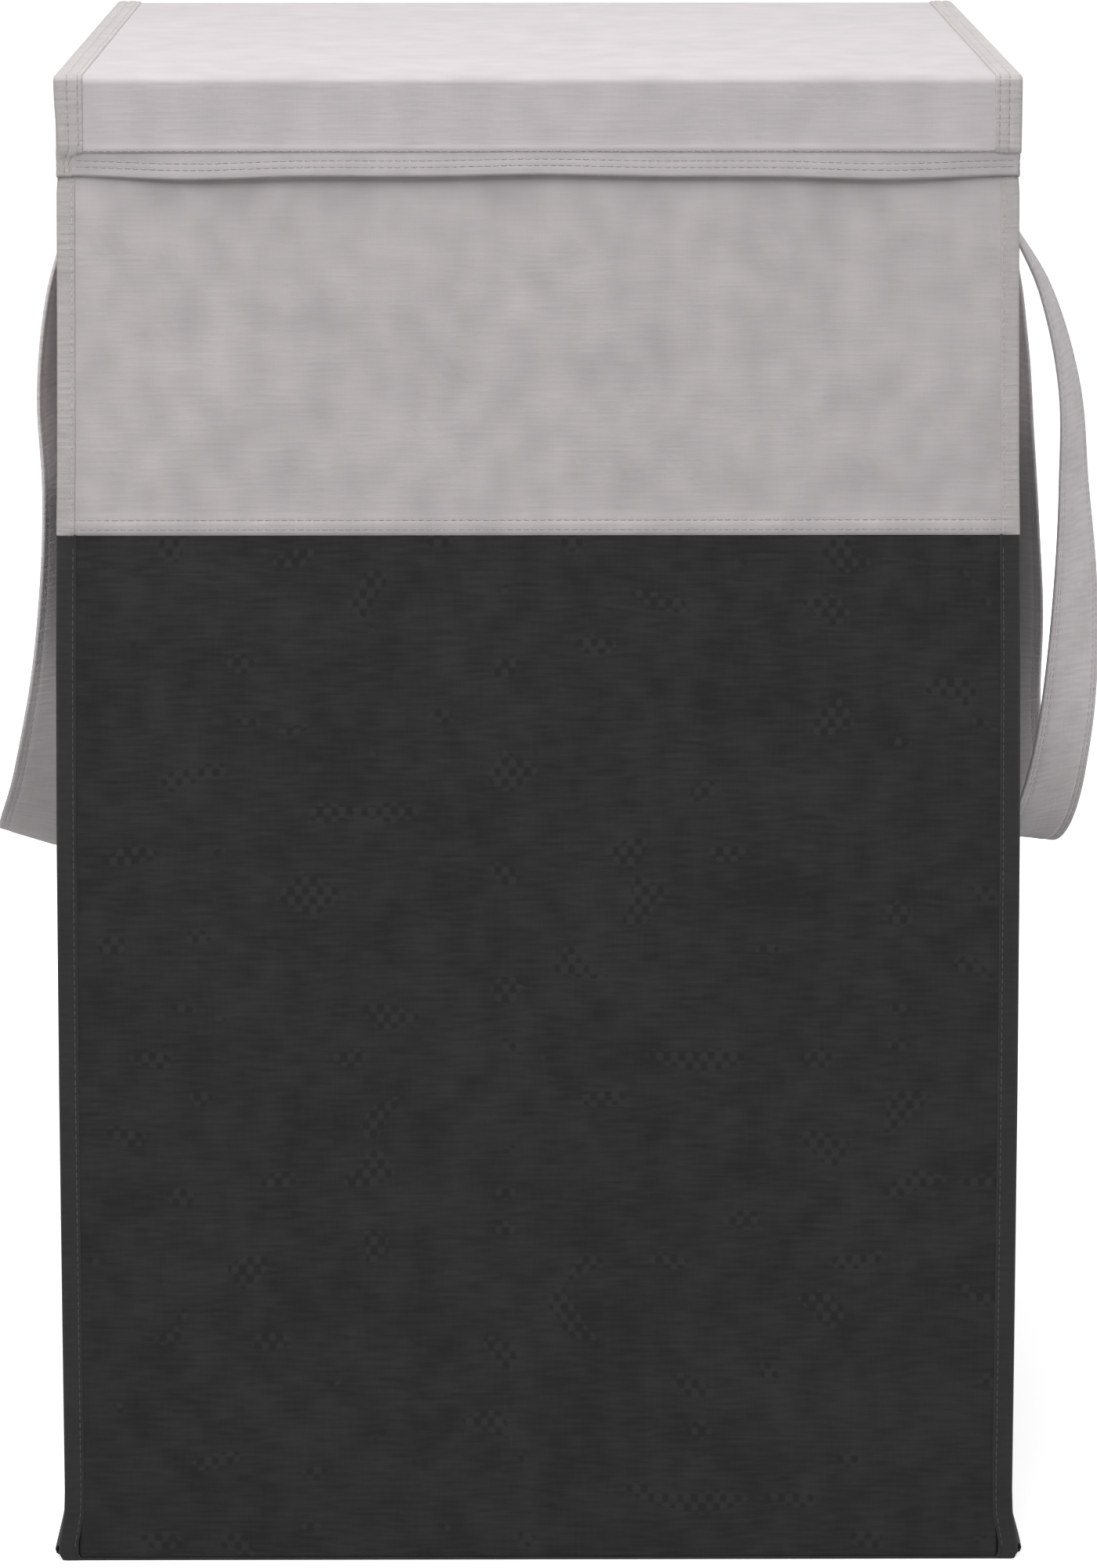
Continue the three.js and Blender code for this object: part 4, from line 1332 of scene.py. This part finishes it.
for side in ("left", "right"):
    node = f"lid_{side}_edge_binding"
    side_sign = corner_signs[side]
    edge_width = edge_outer - edge_inner[side]
    edge_section = [*edge_inner_rows]
    edge_section += [(edge_width - inward, raised) for inward, raised in edge_outer_rows]
    edge_section += arc((edge_width - edge_wrap, -edge_wrap), edge_wrap, 90, 0)
    edge_section.append((edge_width, -edge_wrap - edge_wrap_lip))
    edge_across, edge_profile_at = follow(edge_section)
    leg_foot = leg_feet[side]
    edge_run = [(-leg_front, leg_foot), (-leg_front, leg_foot + leg_foot_row)]
    edge_run += [(-leg_front, height) for height in evenly(leg_foot, leg_top, leg_rows)[:-1]]
    edge_run += arc((edge_start, leg_top), edge_bend, 180, 90, steps=8)
    edge_run += [(forward, leg_top + edge_bend) for forward in evenly(edge_start, edge_end, edge_rows)]
    edge_stops, edge_at = follow(edge_run)

    def edge_place(a, b):
        across, lift = edge_profile_at(a if side_sign > 0 else edge_across[-1] - a)
        forward, up = edge_at(b)
        ahead, behind = edge_at(b + probe), edge_at(b - probe)
        travel = (ahead - behind).normalized()
        below = fade(up, leg_neck, leg_neck_foot)
        narrowed = leg_narrowing * below * (1 - across / edge_width)
        lift *= 1 - leg_press_shares[side] * below
        taper = leg_tapers[side] * fade(up, *leg_taper_reach) * across / edge_width
        sideways = edge_inner[side] + across + narrowed - taper
        back = forward - travel.y * lift + leg_lean * below
        return Vector((side_sign * sideways, back, up + travel.x * lift))

    def edge_thickness(a, b):
        across = a if side_sign > 0 else edge_across[-1] - a
        pressed = fade(across, *edge_press_reach) * fade(edge_at(b).x, -leg_front, edge_start)
        return tape_thickness * (1 - edge_press_share * pressed)

    edge_columns = edge_across
    edge_row_stops = [edge_across[index] for index in edge_groove_indices]
    if side_sign < 0:
        edge_columns = [edge_across[-1] - stop for stop in reversed(edge_across)]
        edge_row_stops = [edge_across[-1] - stop for stop in edge_row_stops]
    edge_binding = cloth(node, edge_columns, edge_stops, edge_place, edge_thickness,
                         grain=(side_sign * 0.7, 3))
    dress(edge_binding, pale_tape, "pale_tape", "lid", node)
    for stop in edge_row_stops:
        path = [(stop, where) for where in edge_stops[2:-1]]
        lid_seams.append(stitch_row(edge_place, path, tape_thickness / 2))

sew("lid_stitches", lid_seams, grey_thread, "lid_fabric", "lid")


# Hinge. A strip of the lid's own cloth, sewn flat to the back wall and tucked in under the lid's
# cover. It is the whole hinge: it bends along the line between wall and lid.
hinge_low, hinge_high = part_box("lid_hinge_strip")
hinge_cloth = hinge_high.y - hinge_low.y
hinge_spread = 0.0034
hinge_bend = 0.0022
hinge_tuck = 0.005
hinge_tuck_cloth = 0.0003
hinge_seam_rows = (0.0035, 0.009)
hinge_row_end = 0.003
hinge_hem_rows = (0, 0.0008, 0.004)
hinge_heights = (0.61, 0.62, 0.63, 0.637, 0.6405)
hinge_tuck_rows = 3
# The stops of the bend between which the cloth thins out towards its tuck
hinge_thinning = (9, 15)
# The strip's line on the back wall, and the level it tucks in at under the lid's cover
hinge_back = (hinge_low.y + hinge_high.y) / 2
hinge_level = lid_top - flange_cloth - hinge_tuck_cloth / 2
hinge_section = [(hinge_back, hinge_low.z + row) for row in hinge_hem_rows]
hinge_section += [(hinge_back, height) for height in hinge_heights]
hinge_section += arc((hinge_back - hinge_bend, hinge_level - hinge_bend), hinge_bend, 0, 90, steps=8)
tucks = evenly(0, hinge_tuck, hinge_tuck_rows)
hinge_section += [(hinge_back - hinge_bend - tuck, hinge_level) for tuck in tucks]
hinge_stops, hinge_at = follow(hinge_section)
hinge_half = hinge_high.x + hinge_spread


def hinge_place(a, b):
    backward, up = hinge_at(b)
    return Vector((-a, backward, up))


def hinge_thickness(a, b):
    thinned = fade(b, *(hinge_stops[index] for index in hinge_thinning))
    return hinge_cloth + (hinge_tuck_cloth - hinge_cloth) * thinned


hinge_strip = cloth("lid_hinge_strip", spans(-hinge_half, hinge_half, cover_cell), hinge_stops, hinge_place,
                    hinge_thickness, grain=(2.7, 4))
hinge_seams = []
row_end = hinge_half - hinge_row_end
for row in hinge_seam_rows:
    path = [(a, row) for a in spans(-row_end, row_end, cover_cell)]
    hinge_seams.append(stitch_row(hinge_place, path, hinge_cloth / 2))
dress(hinge_strip, lid_linen, "pale_fabric", None, "lid_hinge_strip")
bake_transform(hinge_strip)
sew("hinge_stitches", hinge_seams, pale_thread, "pale_fabric", "shell")


# Strap handles. A long strap of folded, stitched cloth on each side wall, sewn down at both ends just
# below the lid. It hangs in a loop and half turns over, so its lower part shows its face to the front.
# Painted light: the strap is the walls' greige cloth made lighter, to stand in for more light falling on it
strap_lit_colour = (0.63, 0.592, 0.598, 1)
strap_cell = 0.0055
strap_tab_cell = 0.0025
# How far from each folded edge the cloth has its stops, and its two rows of stitches
strap_edge_stops = (0, 0.0006, 0.0012, 0.0018, 0.0024, 0.0032, 0.0038, 0.0044, 0.006, 0.011)
strap_rows = (0.0018, 0.0038)
strap_press_share = 0.86
strap_pinch_share = 0.3
strap_pinch_reach = 0.0007
strap_edge_share = 0.35
strap_edge_reach = 0.0012
# The crossed box of stitches on each tab: how far in from the strap's end, its fold and its edges
box_end = 0.0025
box_fold = 0.0015
box_side = 0.0065
box_steps = 8
strap_trim = 0.0028
strap_step = 0.002
# Which way each strap turns over, and how far its edges tip up or down on the way
strap_turns = {"left": -1, "right": 1}
strap_cants = {"left": 0.34, "right": -0.2}
# Each strap from its fold at the wall to the foot of its loop: how far it has turned, and how far
# its front half (-1) and its back half (1) bulge out
quarter_turn_shares = {"left": (0, 0.13, 0.15, 0.16, 0.3, 0.5, 0.74, 0.92, 1),
                       "right": (0, 0.145, 0.235, 0.315, 0.455, 0.572, 0.646, 0.8, 1)}
bulge_shares = {
    "left": {-1: (0, 0.24, 0.362, 0.312, 0.278, 0.31, 0.454, 0.704, 0.83),
             1: (0, 0.2, 0.3, 0.35, 0.4, 0.46, 0.54, 0.7, 0.83)},
    "right": {-1: (0, 0.595, 0.91, 0.98, 1.02, 0.982, 0.851, 0.689, 0.536),
              1: (0, 0.45, 0.59, 0.635, 0.65, 0.665, 0.59, 0.55, 0.536)},
}
strap_bulge = 0.036
strap_leg = 0.227
strap_linen = linen("strap_linen", strap_lit_colour, clouds=0.12, streaks=0.16, ribs=0.05, checks=0.0, grit=0.12)


def strap_thickness(a, b):
    """Folded edges are full, the stitch rows beside them are drawn in."""
    pinch = sum(hump(abs(a), strap_half - row, strap_pinch_reach) for row in strap_rows)
    edge = fade(abs(a), strap_half - strap_edge_reach, strap_half)
    return strap_thick * (strap_press_share - strap_pinch_share * pinch) * (1 - strap_edge_share * edge)


for side in ("left", "right"):
    side_sign = corner_signs[side]
    tab_low, tab_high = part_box(f"{side}_front_strap_tab")
    swing = next(joint for joint in frame["joints"] if joint["name"] == f"{side}_handle_swing")
    strap_top = swing["pos_m"][2]
    strap_half = (tab_high.y - tab_low.y) / 2 - strap_trim
    strap_thick = tab_high.x - tab_low.x
    strap_turn = -(tab_low.y + tab_high.y) / 2
    strap_mid = abs(tab_low.x + tab_high.x) / 2
    strap_half_loop = strap_leg + strap_turn * math.pi / 2
    strap_length = 2 * strap_half_loop
    tab_length = tab_high.z - strap_top

    def strap_centre(run):
        """The strap's middle line on the right-hand wall, and the way out of the loop's own plane."""
        share = min(max(run / strap_length, 0), 1)
        half = 2 * share if share <= 0.5 else 2 * (1 - share)
        leg = -1 if share <= 0.5 else 1
        distance = half * strap_half_loop
        turn = max(distance - strap_leg, 0) / strap_turn
        drop = min(distance, strap_leg) + strap_turn * math.sin(turn)
        bulge = strap_bulge * smooth_share(bulge_shares[side][leg], half)
        above = max(-run, run - strap_length, 0)
        centre = Vector((strap_mid + bulge, leg * strap_turn * math.cos(turn), strap_top - drop + above))
        around = Vector((0, leg * math.cos(turn), -math.sin(turn)))
        angle = smooth_share(quarter_turn_shares[side], half) * math.pi / 2 * strap_turns[side]
        return centre, around, angle, leg

    def strap_place(a, b):
        centre, around, angle, leg = strap_centre(b)
        ahead, behind = min(b + strap_step, strap_length), max(b - strap_step, 0)
        travel = (strap_centre(ahead)[0] - strap_centre(behind)[0]).normalized()
        if b <= strap_step or b >= strap_length - strap_step:
            travel = UP * leg
        across = Vector((math.sin(angle), 0, math.sin(angle) * strap_cants[side])) - around * math.cos(angle)
        across = (across - travel * across.dot(travel)).normalized()
        point = centre + across * (a * side_sign)
        return Vector((point.x * side_sign, point.y, point.z))

    strap_along = spans(-tab_length, 0, strap_tab_cell) + [strap_step]
    strap_along += spans(strap_step, strap_length - strap_step, strap_cell)[1:-1]
    strap_along += [strap_length - strap_step]
    strap_along += spans(strap_length, strap_length + tab_length, strap_tab_cell)
    strap_across = [-strap_half + stop for stop in strap_edge_stops]
    strap_across += [0] + [-stop for stop in reversed(strap_across)]
    strap = cloth(f"{side}_strap", strap_across, strap_along, strap_place, strap_thickness,
                  grain=(6 + side_sign, 3))
    dress(strap, strap_linen, "strap", None, f"{side}_strap", f"{side}_front_strap_tab",
          f"{side}_back_strap_tab")
    strap_seams = []
    for row in strap_rows:
        for a in (row - strap_half, strap_half - row):
            path = [(a, b) for b in strap_along[2:-2]]
            for face in (-1, 1):
                strap_seams.append(stitch_row(strap_place, path, strap_thickness(a, 0) / 2, face))
    half_box = strap_half - box_side
    box_places = ((-tab_length + box_end, -box_fold),
                  (strap_length + box_fold, strap_length + tab_length - box_end))
    for foot, head in box_places:
        corners = ((-half_box, foot), (half_box, foot), (half_box, head), (-half_box, head),
                   (-half_box, foot), (half_box, head))
        for first, second in zip(corners, corners[1:]):
            sideways, along = (evenly(first[axis], second[axis], box_steps) for axis in (0, 1))
            path = [first, *zip(sideways, along)]
            strap_seams.append(stitch_row(strap_place, path, strap_thickness(0, 0) / 2, side_sign))
    strap_stitches = sew(f"{side}_strap_stitches", strap_seams, pale_thread, "strap", None)
    for piece in (strap, strap_stitches):
        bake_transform(piece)
